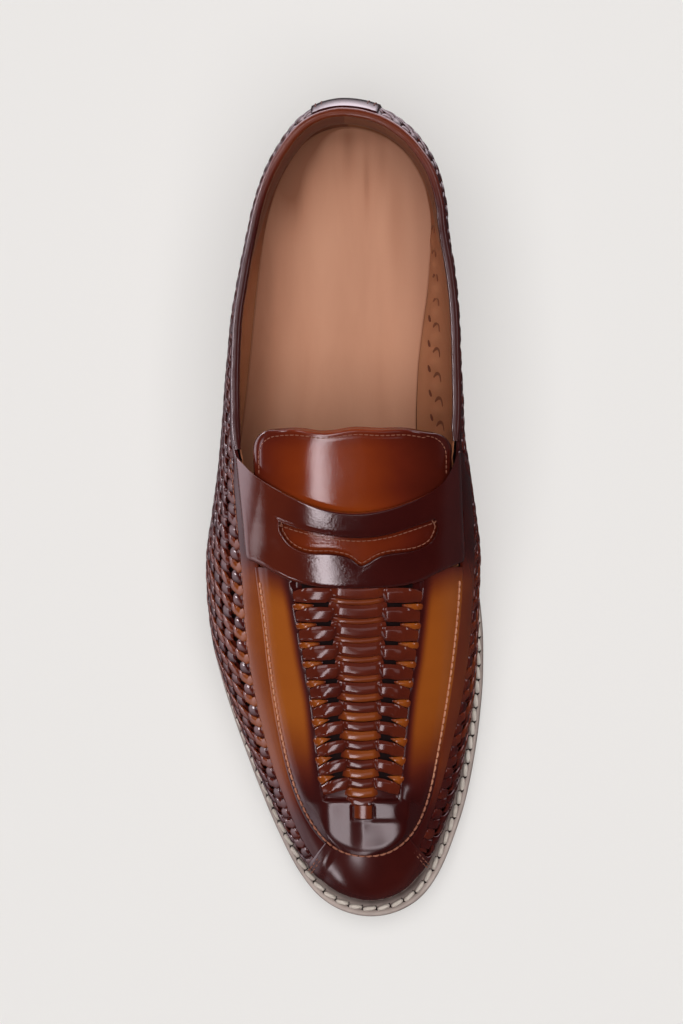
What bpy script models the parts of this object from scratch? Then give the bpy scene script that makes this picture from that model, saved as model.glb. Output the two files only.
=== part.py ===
"""Woven penny loafer for the right foot, standing empty on its sole.

Frame: +Z up from the floor, +Y towards the toe, +X towards the outer side of the foot.
The origin is on the floor, under the middle of the shoe.
Sizes below are in millimetres, with y counted from the back of the heel; the meshes are
made in metres.
"""
import math

import bmesh
import bpy
import numpy as np

MM = 0.001

# ---------------------------------------------------------------- driving sizes
LENGTH = 300.0              # back of the heel to the tip of the welt
BALL_WIDTH = 102.0          # across the welt at the ball
INSTEP_HEIGHT = 86.0        # ridge above the floor under the strap's back edge
HEEL_HEIGHT = 23.0          # floor to the outsole at the back of the heel
SOLE_THICKNESS = 5.0
WELT_THICKNESS = 3.5
WALL = 2.2                  # leather and lining together
HEEL_PAD = 5.2              # padded wall at the back of the collar
STRAP_THICKNESS = 2.0
TONGUE_THICKNESS = 2.0
BACK_STRIP_THICKNESS = 1.2
TOP_LIFT_THICKNESS = 6.0
INSOLE_RISE = 3.0           # footbed's top above the welt's top
BINDING_RADIUS = 1.7
GAP = 0.3                   # clearance between pieces that touch
COLUMNS = 48                # steps along each side, heel to toe
LOW_ROWS, HIGH_ROWS = 4, 8  # steps below and above the wall's widest line

ORIGIN_Y = 0.4985 * LENGTH          # middle of the shoe
HEEL_BREAST = 0.24 * LENGTH         # front face of the heel block
HEEL_FAN, TOE_FAN = LENGTH / 3, LENGTH * 2 / 3      # past these, sections turn round the ends
HEEL_CENTRE, TOE_CENTRE = LENGTH * 0.207, LENGTH * 0.84
COLLAR_CORNER, THROAT_FRONT = LENGTH * 0.4367, LENGTH * 0.5767
THROAT_SQUARENESS = 2.6

# The tables are drawn for the sample last and graded to the sizes above.
GRADES = {
    "y": LENGTH / 300,
    "x": BALL_WIDTH / 102,
    "rise": INSTEP_HEIGHT / 86,
    "heel": HEEL_HEIGHT / 23,
    "share": 1.0,
}
# Line where the upper meets the welt: x on the outer and the inner side.
FEATHER_LINE = {
    "columns": ("y", "outer_x", "inner_x"),
    "rows": (
        (7, -1.0, -1.0), (12, 13.6, -17.6), (20, 20.6, -25.8), (32, 26.6, -31.4),
        (45, 30.2, -33.2), (67, 33.2, -31.7), (82, 34.8, -29.7), (97, 36.4, -28.0),
        (117, 39.0, -27.2), (135, 42.2, -30.2), (150, 44.9, -36.4), (165, 47.0, -42.2),
        (180, 47.8, -45.6), (195, 46.6, -46.5), (210, 42.9, -46.0), (225, 37.9, -44.4),
        (240, 32.1, -41.9), (255, 25.7, -38.4), (268, 19.3, -33.9), (280, 11.9, -28.4),
        (287, 5.2, -23.0), (292, -9.6, -9.6),
    ),
}
# How far the wall stands out beyond that line, and how high above it.
WALL_BULGE = {
    "columns": ("y", "outer_x", "inner_x", "outer_rise", "inner_rise"),
    "rows": (
        (7, 6.0, 6.0, 22, 22), (20, 4.0, 5.6, 22, 26), (45, 3.2, 5.4, 22, 35),
        (67, 4.5, 9.4, 22, 42), (82, 5.4, 12.6, 22, 46), (97, 5.4, 14.8, 20, 48),
        (117, 4.5, 16.4, 18, 47), (135, 3.2, 15.6, 16, 40), (150, 2.9, 11.4, 15, 30),
        (165, 3.2, 7.2, 13, 20), (180, 2.4, 3.4, 12, 14), (200, 1.9, 1.9, 11, 11),
        (250, 1.5, 1.4, 10, 10), (292, 1.2, 1.2, 8, 8),
    ),
}
# The last's ridge, and how square its sections are: 2 is an ellipse, more is boxier.
RIDGE = {
    "columns": ("y", "x", "rise", "squareness_share"),
    "rows": (
        (60, -2.0, 134, 2.2), (80, -2.5, 121, 2.3), (95, -3.0, 113, 2.45),
        (110, -3.0, 106, 2.65), (120, -3.2, 101.5, 2.85), (130, -3.5, 96.5, 3.0),
        (140, -4.0, 91.5, 2.9), (150, -4.6, 86, 2.8), (165, -5.5, 77.5, 2.6),
        (180, -6.0, 70, 2.5), (200, -6.4, 62, 2.4), (220, -7.0, 55.3, 2.3),
        (240, -8.0, 49.2, 2.2), (252, -8.6, 45.8, 2.2),
    ),
}
# Height of the collar's edge on each side.
TOPLINE = {
    "columns": ("y", "outer_rise", "inner_rise"),
    "rows": (
        (7, 88, 88), (20, 84.5, 85.5), (40, 78.5, 80.5), (60, 75.5, 78),
        (84, 75, 77.5), (108, 76.5, 79), (120, 78, 80), (131, 80, 81),
    ),
}
# Underside of the sole: heel seat, arch, flat tread and toe spring.
SOLE_BOTTOM = {
    "columns": ("y", "heel"),
    "rows": (
        (4, 23), (35, 22), (72, 19.5), (100, 14), (130, 7.3), (155, 2.6), (174, 0.4),
        (184, 0), (228, 0), (245, 0.8), (265, 3), (285, 6.4), (301, 9.5),
    ),
}
# How far the welt's edge stands out beyond the line where the upper meets it.
WELT_MARGIN = {
    "columns": ("y", "outer_x", "inner_x"),
    "rows": (
        (7, 1.8, 1.8), (45, 2.0, 2.2), (97, 2.2, 2.0), (130, 2.8, 2.4), (165, 3.4, 3.4),
        (185, 3.6, 4.0), (200, 3.7, 4.6), (225, 4.1, 5.4), (255, 4.9, 6.3), (280, 6.2, 7.1),
        (292, 7.6, 7.6),
    ),
}
# Edges of the saddle strap in plan, from its outer end to its inner end.
STRAP_EDGES = {
    "columns": ("back_x", "back_y", "front_x", "front_y"),
    "rows": (
        (37.8, 129.0, 34.6, 166.6), (31.0, 135.8, 28.8, 169.0), (21.5, 141.8, 20.8, 173.2),
        (9.0, 147.4, 9.0, 176.5), (-4.0, 149.7, -4.7, 177.2), (-16.0, 148.5, -17.0, 176.8),
        (-27.0, 144.9, -27.5, 175.0), (-37.0, 139.0, -37.0, 170.6), (-43.2, 126.5, -44.6, 167.3),
    ),
}
# Outline of the strap's cut-out in plan: a smile over a shallow V.
STRAP_SLOT = {
    "columns": ("x", "y"),
    "rows": (
        (22.0, 153.2), (15.8, 155.3), (4.0, 158.0), (-6.8, 159.0), (-17.7, 157.6),
        (-28.1, 154.3), (-34.0, 152.2), (-34.4, 157.8), (-30.6, 161.2), (-21.2, 162.6),
        (-12.5, 163.9), (-7.0, 168.0), (0.1, 164.3), (10.9, 162.5), (17.5, 160.8), (21.0, 157.0),
    ),
}
TONGUE_BACK, TONGUE_OUTER, TONGUE_INNER, TONGUE_CORNER = 120.5, 31.0, -40.0, 7.0
TONGUE_FRONT, TONGUE_CLEARANCE = 171.5, 0.8
STRAP_LIFT = 0.45           # clear of the upper's facets
BINDING_ENDS = {1: LENGTH * 0.424, -1: LENGTH * 0.414}      # just behind the strap's corners
BACK_STRIP_HALF = 10.5      # along the welt line, each side of the heel's centre
STRIP_FOOT = 0.09           # v where the strip starts, just clear of the welt
LAST_BACK = FEATHER_LINE["rows"][0][0] * GRADES["y"]
LAST_TOE = FEATHER_LINE["rows"][-1][0] * GRADES["y"]
FEATHER_RISE = SOLE_THICKNESS + WELT_THICKNESS + 2 * GAP    # welt line above the sole's underside
LASTING_ANGLE = math.radians(30)    # how steeply the wall leaves the welt line

LEATHER_BROWN = (0.17, 0.035, 0.015)
LEATHER_TAN = (0.42, 0.13, 0.03)
LEATHER_BURGUNDY = (0.075, 0.016, 0.018)


# ---------------------------------------------------------------- curves and sections
def monotone_cubic(xs, ys, at):
    """Smooth curve through the points (xs, ys) that never overshoots them."""
    xs, ys, at = (np.asarray(a, dtype=float) for a in (xs, ys, at))
    steps = np.diff(xs)
    rises = np.diff(ys) / steps
    slopes = np.empty_like(ys)
    slopes[0], slopes[-1] = rises[0], rises[-1]
    left = 2 * steps[1:] + steps[:-1]
    right = steps[1:] + 2 * steps[:-1]
    same_way = rises[:-1] * rises[1:] > 0
    safe = np.where(same_way, rises[:-1], 1.0), np.where(same_way, rises[1:], 1.0)
    slopes[1:-1] = np.where(same_way, (left + right) / (left / safe[0] + right / safe[1]), 0.0)
    i = np.clip(np.searchsorted(xs, at) - 1, 0, len(steps) - 1)
    u = np.clip((at - xs[i]) / steps[i], 0, 1)
    return (
        ys[i] * (1 + 2 * u) * (1 - u) ** 2 + ys[i + 1] * u * u * (3 - 2 * u)
        + steps[i] * u * (1 - u) * (slopes[i] * (1 - u) - slopes[i + 1] * u)
    )


def column(table, name):
    """A table's column, graded by what the last word of its name measures."""
    index = table["columns"].index(name)
    grade = GRADES[name.split("_")[-1]]
    return np.array([row[index] for row in table["rows"]], dtype=float) * grade


def read(table, name, y):
    """Value of a table's column at y."""
    return monotone_cubic(column(table, "y"), column(table, name), y)


def side_name(side):
    return "outer" if side > 0 else "inner"


def station_y(t):
    """Distance from the heel of station t, which runs from 0 at the heel to 1 at the toe."""
    return LAST_BACK + (LAST_TOE - LAST_BACK) * (1 - np.cos(math.pi * t)) / 2


def station_at(y):
    return np.arccos(np.clip(1 - 2 * (y - LAST_BACK) / (LAST_TOE - LAST_BACK), -1, 1)) / math.pi


def feather_point(side, t):
    """Plan position of the welt line; its ends are round because t slows down there."""
    knots = station_at(column(FEATHER_LINE, "y"))
    x = monotone_cubic(knots, column(FEATHER_LINE, side_name(side) + "_x"), t)
    return np.stack([x, station_y(t)], axis=-1)


def edge_point(side, t, outward):
    """Plan position at a distance outward from the welt line."""
    step = 1e-4
    ahead = feather_point(side, np.minimum(t + step, 1))
    behind = feather_point(side, np.maximum(t - step, 0))
    along = ahead - behind
    along /= np.linalg.norm(along, axis=-1, keepdims=True)
    normal = side * np.stack([along[..., 1], -along[..., 0]], axis=-1)
    normal = np.where((t < step)[..., None], (0, -1), normal)
    normal = np.where((t > 1 - step)[..., None], (0, 1), normal)
    return feather_point(side, t) + normal * np.asarray(outward)[..., None]


def even_stations(first, last, count):
    """Stations at equal distances along the welt line."""
    fine = np.linspace(first, last, 2000)
    outer, inner = feather_point(1, fine), feather_point(-1, fine)
    steps = np.linalg.norm(np.diff(outer, axis=0), axis=1) + np.linalg.norm(np.diff(inner, axis=0), axis=1)
    run = np.concatenate([[0], np.cumsum(steps)])
    return np.interp(np.linspace(0, run[-1], count + 1), run, fine)


def sole_bottom(y):
    return read(SOLE_BOTTOM, "heel", y)


def spine_y(y):
    """Where on the ridge a section from the welt line at y ends: they fan out at both ends."""
    heel_span, toe_span = HEEL_FAN - LAST_BACK, LAST_TOE - TOE_FAN
    heel_move, toe_move = HEEL_FAN - HEEL_CENTRE, TOE_CENTRE - TOE_FAN
    heel = HEEL_CENTRE + heel_move * (np.clip(y - LAST_BACK, 0, None) / heel_span) ** (heel_span / heel_move)
    toe = TOE_FAN + toe_move * (1 - (np.clip(LAST_TOE - y, 0, None) / toe_span) ** (toe_span / toe_move))
    return np.where(y < HEEL_FAN, heel, np.where(y > TOE_FAN, toe, y))


def section(side, t):
    """Sizes of the section at station t: where it starts, how it bulges, where its ridge is."""
    y = station_y(t)
    foot = feather_point(side, t)
    ridge_y = spine_y(y)
    ridge = np.stack([read(RIDGE, "x", ridge_y), ridge_y], axis=-1)
    reach = foot - ridge
    length = np.linalg.norm(reach, axis=-1)
    low = sole_bottom(y) + FEATHER_RISE
    return {
        "ridge": ridge,
        "outward": reach / length[..., None],
        "foot_reach": length,
        "reach": length + read(WALL_BULGE, side_name(side) + "_x", y),
        "low": low,
        "middle": low + read(WALL_BULGE, side_name(side) + "_rise", y),
        "top": read(RIDGE, "rise", ridge_y),
        "ridge_slope": (read(RIDGE, "rise", ridge_y) - read(RIDGE, "rise", ridge_y - 2)) / 2,
        "squareness": read(RIDGE, "squareness_share", ridge_y),
    }


def last_point(side, t, v):
    """Point of the upper's outer surface: v is 0 at the welt, 1 at the widest line, 2 at the ridge."""
    s = section(side, t)
    lean = LASTING_ANGLE + (math.pi / 2 - LASTING_ANGLE) * np.clip(v, 0, 1)
    swell = (np.sin(lean) - math.sin(LASTING_ANGLE)) / (1 - math.sin(LASTING_ANGLE))
    low_reach = s["foot_reach"] + (s["reach"] - s["foot_reach"]) * swell
    low_z = s["middle"] - (s["middle"] - s["low"]) * np.cos(lean) / math.cos(LASTING_ANGLE)
    turn = np.clip(v - 1, 0, 1) * math.pi / 2
    power = 2 / s["squareness"]
    high_reach = s["reach"] * np.clip(np.cos(turn), 0, 1) ** power
    high_z = s["middle"] + (s["top"] - s["middle"]) * np.sin(turn) ** power
    reach = np.where(v < 1, low_reach, high_reach)
    z = np.where(v < 1, low_z, high_z)
    plan = s["ridge"] + s["outward"] * reach[..., None]
    past_ridge = np.clip(plan[..., 1] - s["ridge"][..., 1], 0, None)
    z = z + np.where(v < 1, 0, s["ridge_slope"] * past_ridge * np.sin(turn) ** power)
    return np.concatenate([plan, z[..., None]], axis=-1)


def collar_v(side, t):
    """Where the wall ends: the collar's edge, then the throat, then the ridge."""
    y = station_y(t)
    s = section(side, t)
    power = s["squareness"] / 2
    rise = (read(TOPLINE, side_name(side) + "_rise", y) - s["middle"]) / (s["top"] - s["middle"])
    collar = np.arcsin(np.clip(rise, 0, 1) ** power)
    across = np.clip((y - COLLAR_CORNER) / (THROAT_FRONT - COLLAR_CORNER), 0, 1)
    share = corner_reach_share(side) * (1 - across ** THROAT_SQUARENESS) ** (1 / THROAT_SQUARENESS)
    throat = np.arccos(np.clip(share, 0, 1) ** power)
    return 1 + np.where(y < COLLAR_CORNER, collar, throat) / (math.pi / 2)


def corner_reach_share(side):
    """Distance of the collar's front corner from the ridge, as a share of the section's reach."""
    s = section(side, station_at(COLLAR_CORNER))
    rise = (read(TOPLINE, side_name(side) + "_rise", COLLAR_CORNER) - s["middle"]) / (s["top"] - s["middle"])
    return (1 - rise ** s["squareness"]) ** (1 / s["squareness"])


def instep_height(x, y):
    """Height of the last above the plan point (x, y), between the heel and toe fans."""
    t = station_at(y)
    outer, inner = section(1, t), section(-1, t)
    ridge_x = outer["ridge"][..., 0]
    on_outer = x > ridge_x
    reach = np.where(on_outer, outer["reach"], inner["reach"])
    middle = np.where(on_outer, outer["middle"], inner["middle"])
    share = np.clip(np.abs(x - ridge_x) / reach, 0, 0.999)
    power = outer["squareness"]
    return middle + (outer["top"] - middle) * (1 - share ** power) ** (1 / power)


def instep_patch(x, y):
    """Points above the plan grid (x, y), and the surface's normals there."""
    step = 0.05
    slope_x = (instep_height(x + step, y) - instep_height(x - step, y)) / (2 * step)
    slope_y = (instep_height(x, y + step) - instep_height(x, y - step)) / (2 * step)
    points = np.stack([x, y, instep_height(x, y)], axis=-1)
    normals = np.stack([-slope_x, -slope_y, np.ones_like(x)], axis=-1)
    return points, normals / np.linalg.norm(normals, axis=-1, keepdims=True)


# ---------------------------------------------------------------- Blender helpers
def clear_scene():
    for thing in list(bpy.data.objects):
        bpy.data.objects.remove(thing, do_unlink=True)


def new_collection(name):
    collection = bpy.data.collections.new(name)
    bpy.context.scene.collection.children.link(collection)
    return collection


def leather(name, colour, roughness=0.35):
    material = bpy.data.materials.new(name)
    material.use_nodes = True
    shader = material.node_tree.nodes["Principled BSDF"]
    shader.inputs["Base Color"].default_value = (*colour, 1)
    shader.inputs["Roughness"].default_value = roughness
    shader.inputs["Metallic"].default_value = 0
    return material


def to_frame(points):
    """Millimetres from the heel to metres from the shoe's middle."""
    return (np.asarray(points, dtype=float) - (0, ORIGIN_Y, 0)) * MM


def mesh_object(name, points, faces, material, collection, closed=True):
    mesh = bpy.data.meshes.new(name)
    mesh.from_pydata([tuple(p) for p in to_frame(points)], [], faces)
    work = bmesh.new()
    work.from_mesh(mesh)
    bmesh.ops.remove_doubles(work, verts=work.verts, dist=1e-6)
    if closed:
        bmesh.ops.recalc_face_normals(work, faces=work.faces)
    work.to_mesh(mesh)
    work.free()
    mesh.shade_smooth()
    mesh.set_sharp_from_angle(angle=math.radians(40))
    mesh.materials.append(material)
    thing = bpy.data.objects.new(name, mesh)
    collection.objects.link(thing)
    return thing


def plate(name, stations, levels, material, collection):
    """Solid stacked from outlines. Each level is a distance from the welt line and a height."""
    points, faces = [], []
    count = len(stations)
    rim = list(range(count)) + list(range(2 * count - 2, count, -1))
    if stations[-1] < 1:
        rim = list(range(count)) + list(range(2 * count - 1, count, -1))
    for outward, height in levels:
        for side in (1, -1):
            plan = edge_point(side, stations, outward(side))
            z = height(plan[:, 1])
            points.extend(np.column_stack([plan, z]))
    for level in range(len(levels)):
        base = level * 2 * count
        if level:
            for a, b in zip(rim, rim[1:] + rim[:1]):
                faces.append((base - 2 * count + a, base - 2 * count + b, base + b, base + a))
        if level in (0, len(levels) - 1):
            for k in range(count - 1):
                faces.append((base + k, base + k + 1, base + count + k + 1, base + count + k))
    return mesh_object(name, points, faces, material, collection)


def slab(name, points, normals, near, far, material, collection):
    """Solid between two distances from a grid of surface points."""
    rows, columns = points.shape[:2]
    size = rows * columns
    cloud = np.concatenate([(points + normals * d).reshape(-1, 3) for d in (near, far)])
    faces = []
    for r in range(rows - 1):
        for c in range(columns - 1):
            a = r * columns + c
            quad = (a, a + 1, a + columns + 1, a + columns)
            faces.append(quad)
            faces.append(tuple(size + q for q in reversed(quad)))
    border = [c for c in range(columns)]
    border += [r * columns + columns - 1 for r in range(1, rows)]
    border += [(rows - 1) * columns + c for c in range(columns - 2, -1, -1)]
    border += [r * columns for r in range(rows - 2, 0, -1)]
    for a, b in zip(border, border[1:] + border[:1]):
        faces.append((a, b, size + b, size + a))
    return mesh_object(name, cloud, faces, material, collection)


def wall_rows(side, t):
    """Heights v of the wall's rows at station t, from the welt line to where the wall ends."""
    low = np.linspace(0, 1, LOW_ROWS + 1)
    high = 1 + (float(collar_v(side, t)) - 1) * np.linspace(0, 1, HIGH_ROWS + 1)
    return np.concatenate([low, high[1:]])


def throat_edge(side, y, stations):
    """How far the throat's edge lies from the ridge at y, measured on the upper's facets."""
    open_from = station_y(stations) > COLLAR_CORNER - 12
    kept = stations[open_from]
    s = section(side, kept)
    share = np.clip(np.cos((collar_v(side, kept) - 1) * math.pi / 2), 0, 1) ** (2 / s["squareness"])
    return np.interp(y, station_y(kept), s["reach"] * share)


# ---------------------------------------------------------------- the shoe's pieces
def build_upper(stations, collection):
    """One shell from the welt line up to the collar, the throat and the ridge."""
    points, faces, pad = [], [], []
    rows = LOW_ROWS + HIGH_ROWS + 1
    for side in (1, -1):
        base = len(points)
        for t in stations:
            wall = last_point(side, np.full(rows, t), wall_rows(side, t))
            points.extend(wall)
            below_edge = wall[-1, 2] - wall[:, 2]
            at_heel = 1 - np.clip((station_y(t) - LAST_BACK) / 34, 0, 1)
            pad.extend(at_heel * np.clip(1 - below_edge / 16, 0, 1))
        for k in range(len(stations) - 1):
            for j in range(rows - 1):
                a = base + k * rows + j
                quad = (a, a + rows, a + rows + 1, a + 1)
                faces.append(quad if side > 0 else tuple(reversed(quad)))
    material = leather("upper_leather", LEATHER_BROWN, 0.3)
    upper = mesh_object("upper", points, faces, material, collection, closed=False)
    thickness = upper.vertex_groups.new(name="thickness")
    cloud = to_frame(points)
    for vertex in upper.data.vertices:
        nearest = int(np.argmin(np.sum((cloud - np.array(vertex.co)) ** 2, axis=1)))
        share = WALL / HEEL_PAD
        thickness.add([vertex.index], share + (1 - share) * pad[nearest], "REPLACE")
    shell = upper.modifiers.new("wall", "SOLIDIFY")
    shell.thickness = HEEL_PAD * MM
    shell.offset = -1
    shell.vertex_group = "thickness"
    return upper


def build_sole(stations, collection):
    """Outsole, welt ring and insole: plates that follow the sole's arch and toe spring."""
    def margin(side, inset=0.0):
        return read(WELT_MARGIN, side_name(side) + "_x", station_y(stations)) - inset

    def above_sole(rise):
        return lambda y: sole_bottom(y) + rise

    rubber = leather("sole_rubber", (0.09, 0.06, 0.05), 0.6)
    plate("outsole", stations, [
        (lambda side: margin(side, 0.8), above_sole(0.0)),
        (lambda side: margin(side), above_sole(1.0)),
        (lambda side: margin(side), above_sole(SOLE_THICKNESS)),
    ], rubber, collection)

    inside = np.full(len(stations), -WALL - GAP)
    plate("insole", stations, [
        (lambda side: inside, above_sole(SOLE_THICKNESS + GAP)),
        (lambda side: inside, above_sole(FEATHER_RISE + INSOLE_RISE)),
    ], leather("insole_leather", (0.45, 0.22, 0.15), 0.5), collection)

    build_welt(stations, margin, collection)


def build_welt(stations, margin, collection):
    """Ring round the insole, with a rounded outer edge."""
    low, high = SOLE_THICKNESS + GAP, SOLE_THICKNESS + GAP + WELT_THICKNESS
    inner = np.full(len(stations), -WALL)
    profile = (
        (lambda side: inner, low), (lambda side: margin(side, 0.2), low),
        (lambda side: margin(side), (low + high) / 2), (lambda side: margin(side, 0.4), high),
        (lambda side: inner, high),
    )
    points, faces = [], []
    for outward, rise in profile:
        outer_plan = edge_point(1, stations, outward(1))
        inner_plan = edge_point(-1, stations, outward(-1))[-2:0:-1]
        plan = np.concatenate([outer_plan, inner_plan])
        points.extend(np.column_stack([plan, sole_bottom(plan[:, 1]) + rise]))
    around = 2 * len(stations) - 2
    for ring in range(len(profile)):
        above = (ring + 1) % len(profile)
        for k in range(around):
            ahead = (k + 1) % around
            faces.append((ring * around + k, ring * around + ahead, above * around + ahead, above * around + k))
    return mesh_object("welt", points, faces, leather("welt_leather", (0.30, 0.24, 0.21), 0.6), collection)


def build_heel(collection):
    """Stacked block under the heel seat, and the rubber lift under it."""
    stations = even_stations(0, float(station_at(HEEL_BREAST)), 14)

    def margin(side, inset):
        return read(WELT_MARGIN, side_name(side) + "_x", station_y(stations)) - inset

    def level(z):
        return lambda y: np.full_like(y, z)

    stack_foot = TOP_LIFT_THICKNESS + GAP
    plate("heel_stack", stations, [
        (lambda side: margin(side, 2.0), level(stack_foot)),
        (lambda side: margin(side, 0.4), lambda y: sole_bottom(y) - GAP),
    ], leather("heel_leather", (0.08, 0.035, 0.025), 0.45), collection)
    plate("heel_top_lift", stations, [
        (lambda side: margin(side, 2.8), level(0.0)),
        (lambda side: margin(side, 2.2), level(0.8)),
        (lambda side: margin(side, 2.0), level(TOP_LIFT_THICKNESS)),
    ], leather("lift_rubber", (0.03, 0.025, 0.025), 0.7), collection)


def build_tongue(stations, collection):
    """Flap that fills the throat under the strap and stands up behind it."""
    middle, half_length = (TONGUE_BACK + TONGUE_FRONT) / 2, (TONGUE_FRONT - TONGUE_BACK) / 2
    y = middle - half_length * np.cos(np.linspace(0, math.pi, 17)[1:-1])
    x = np.empty((len(y), 13))
    for row, at in enumerate(y):
        ridge_x = float(read(RIDGE, "x", at))
        limits = {}
        for side, limit in ((1, TONGUE_OUTER), (-1, TONGUE_INNER)):
            into = min(at - TONGUE_BACK, TONGUE_CORNER)
            corner = TONGUE_CORNER - math.sqrt(TONGUE_CORNER ** 2 - (TONGUE_CORNER - into) ** 2)
            flap = abs(limit - ridge_x) - corner
            throat = float(throat_edge(side, at, stations)) - TONGUE_CLEARANCE
            limits[side] = ridge_x + side * min(flap, throat)
        x[row] = np.linspace(limits[1], limits[-1], x.shape[1])
    points, normals = instep_patch(x, np.repeat(y[:, None], x.shape[1], axis=1))
    slab("tongue", points, normals, 0.0, -TONGUE_THICKNESS, leather("tongue_leather", LEATHER_TAN), collection)


def build_strap(collection, cutters):
    """Strap over the instep, its ends on the sides, with the slot cut through it."""
    steps = np.linspace(0, 1, 25)
    knots = np.linspace(0, 1, len(STRAP_EDGES["rows"]))
    edge = {name: monotone_cubic(knots, column(STRAP_EDGES, name), steps) for name in STRAP_EDGES["columns"]}
    across = np.linspace(0, 1, 10)[:, None]
    x = edge["back_x"] * (1 - across) + edge["front_x"] * across
    y = edge["back_y"] * (1 - across) + edge["front_y"] * across
    points, normals = instep_patch(x, y)
    material = leather("strap_leather", LEATHER_BURGUNDY)
    strap = slab("saddle_strap", points, normals, STRAP_LIFT, STRAP_LIFT + STRAP_THICKNESS, material, collection)

    outline = np.column_stack([column(STRAP_SLOT, "x"), column(STRAP_SLOT, "y")])
    count = len(outline)
    cloud = [(x, y, z) for z in (60, 110) for x, y in outline]
    faces = [tuple(range(count)), tuple(range(count, 2 * count))]
    faces += [(k, (k + 1) % count, count + (k + 1) % count, count + k) for k in range(count)]
    cutter = mesh_object("slot_cutter", cloud, faces, material, cutters)
    cutter.hide_render = True
    cutter.display_type = "WIRE"
    cut = strap.modifiers.new("slot", "BOOLEAN")
    cut.operation = "DIFFERENCE"
    cut.object = cutter
    cut.solver = "EXACT"


def build_binding(stations, collection):
    """Rolled piping that sits on the collar's edge, from one strap corner round to the other."""
    path = []
    for side in (1, -1):
        end = BINDING_ENDS[side]
        kept = np.append(stations[station_y(stations) < end - 2], station_at(end))
        edge = last_point(side, kept, collar_v(side, kept))
        outward = section(side, kept)["outward"]
        edge[:, :2] -= outward * WALL / 2
        edge[:, 2] += BINDING_RADIUS + GAP
        path.append(edge[::-1] if side > 0 else edge[1:])
    path = to_frame(np.concatenate(path))
    curve = bpy.data.curves.new("collar_binding", "CURVE")
    curve.dimensions = "3D"
    curve.bevel_depth = BINDING_RADIUS * MM
    curve.bevel_resolution = 2
    curve.use_fill_caps = True
    line = curve.splines.new("POLY")
    line.points.add(len(path) - 1)
    for point, place in zip(line.points, path):
        point.co = (*place, 1)
    guide = bpy.data.objects.new("binding_guide", curve)
    collection.objects.link(guide)
    graph = bpy.context.evaluated_depsgraph_get()
    mesh = bpy.data.meshes.new_from_object(guide.evaluated_get(graph))
    bpy.data.objects.remove(guide, do_unlink=True)
    work = bmesh.new()
    work.from_mesh(mesh)
    bmesh.ops.remove_doubles(work, verts=work.verts, dist=1e-5)
    bmesh.ops.recalc_face_normals(work, faces=work.faces)
    work.to_mesh(mesh)
    work.free()
    mesh.name = "collar_binding"
    mesh.materials.clear()
    mesh.materials.append(leather("binding_leather", LEATHER_BURGUNDY, 0.2))
    mesh.shade_smooth()
    collection.objects.link(bpy.data.objects.new("collar_binding", mesh))


def build_back_strip(collection):
    """Strip stitched down the back of the heel, from the collar to the welt."""
    fine = np.linspace(0, 0.1, 400)
    run = np.concatenate([[0], np.cumsum(np.linalg.norm(np.diff(feather_point(1, fine), axis=0), axis=1))])
    half = np.interp(np.linspace(0, BACK_STRIP_HALF, 5), run, fine)
    columns = [(1, t) for t in half[::-1]] + [(-1, t) for t in half[1:]]
    rows = LOW_ROWS + HIGH_ROWS + 1
    points = np.empty((rows, len(columns), 3))
    normals = np.empty_like(points)
    for c, (side, t) in enumerate(columns):
        ends = float(collar_v(side, t))
        for r, v in enumerate(np.maximum(wall_rows(side, t), STRIP_FOOT)):
            points[r, c] = last_point(side, np.array([t]), np.array([v]))[0]
            up = last_point(side, np.array([t]), np.array([min(v + 0.02, ends)]))[0]
            down = last_point(side, np.array([t]), np.array([v - 0.02]))[0]
            outward = section(side, np.array([t]))["outward"][0]
            rise = up - down
            lean = rise[:2] @ outward
            normal = np.array([*(outward * rise[2]), -lean])
            normals[r, c] = normal / np.linalg.norm(normal)
    material = leather("strip_leather", LEATHER_BURGUNDY, 0.3)
    slab("back_strip", points, normals, GAP, GAP + BACK_STRIP_THICKNESS, material, collection)


def main():
    clear_scene()
    shoe = new_collection("woven_loafer_right")
    cutters = new_collection("cutters")
    stations = even_stations(0, 1, COLUMNS)
    build_sole(stations, shoe)
    build_heel(shoe)
    build_upper(stations, shoe)
    build_tongue(stations, shoe)
    build_strap(shoe, cutters)
    build_binding(stations, shoe)
    build_back_strip(shoe)


main()
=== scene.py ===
"""Looks of the woven penny loafer for the right foot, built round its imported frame.

Lengths are in millimetres in last coordinates: x towards the outer side of the foot, y from
the back of the heel towards the toe, z up from the floor. to_frame turns them into the frame's
metres. The surface of the last is worked out from the same short tables as the solids.
"""
import math

import bmesh
import bpy
import numpy as np
from mathutils import Matrix, Vector


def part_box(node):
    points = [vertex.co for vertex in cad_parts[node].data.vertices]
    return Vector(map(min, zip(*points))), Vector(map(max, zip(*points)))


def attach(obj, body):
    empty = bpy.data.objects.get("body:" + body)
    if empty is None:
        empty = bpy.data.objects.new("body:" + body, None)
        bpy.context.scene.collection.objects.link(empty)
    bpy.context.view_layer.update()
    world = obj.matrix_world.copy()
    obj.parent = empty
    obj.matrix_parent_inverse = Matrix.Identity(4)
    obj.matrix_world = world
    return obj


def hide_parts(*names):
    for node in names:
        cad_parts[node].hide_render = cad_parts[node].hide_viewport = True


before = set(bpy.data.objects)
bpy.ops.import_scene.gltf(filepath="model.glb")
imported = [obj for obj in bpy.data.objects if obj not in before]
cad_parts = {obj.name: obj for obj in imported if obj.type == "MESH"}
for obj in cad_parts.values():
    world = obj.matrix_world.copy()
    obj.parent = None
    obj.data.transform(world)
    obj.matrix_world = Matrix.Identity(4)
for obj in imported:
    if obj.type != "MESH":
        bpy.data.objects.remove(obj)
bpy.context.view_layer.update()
MM = 0.001

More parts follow.
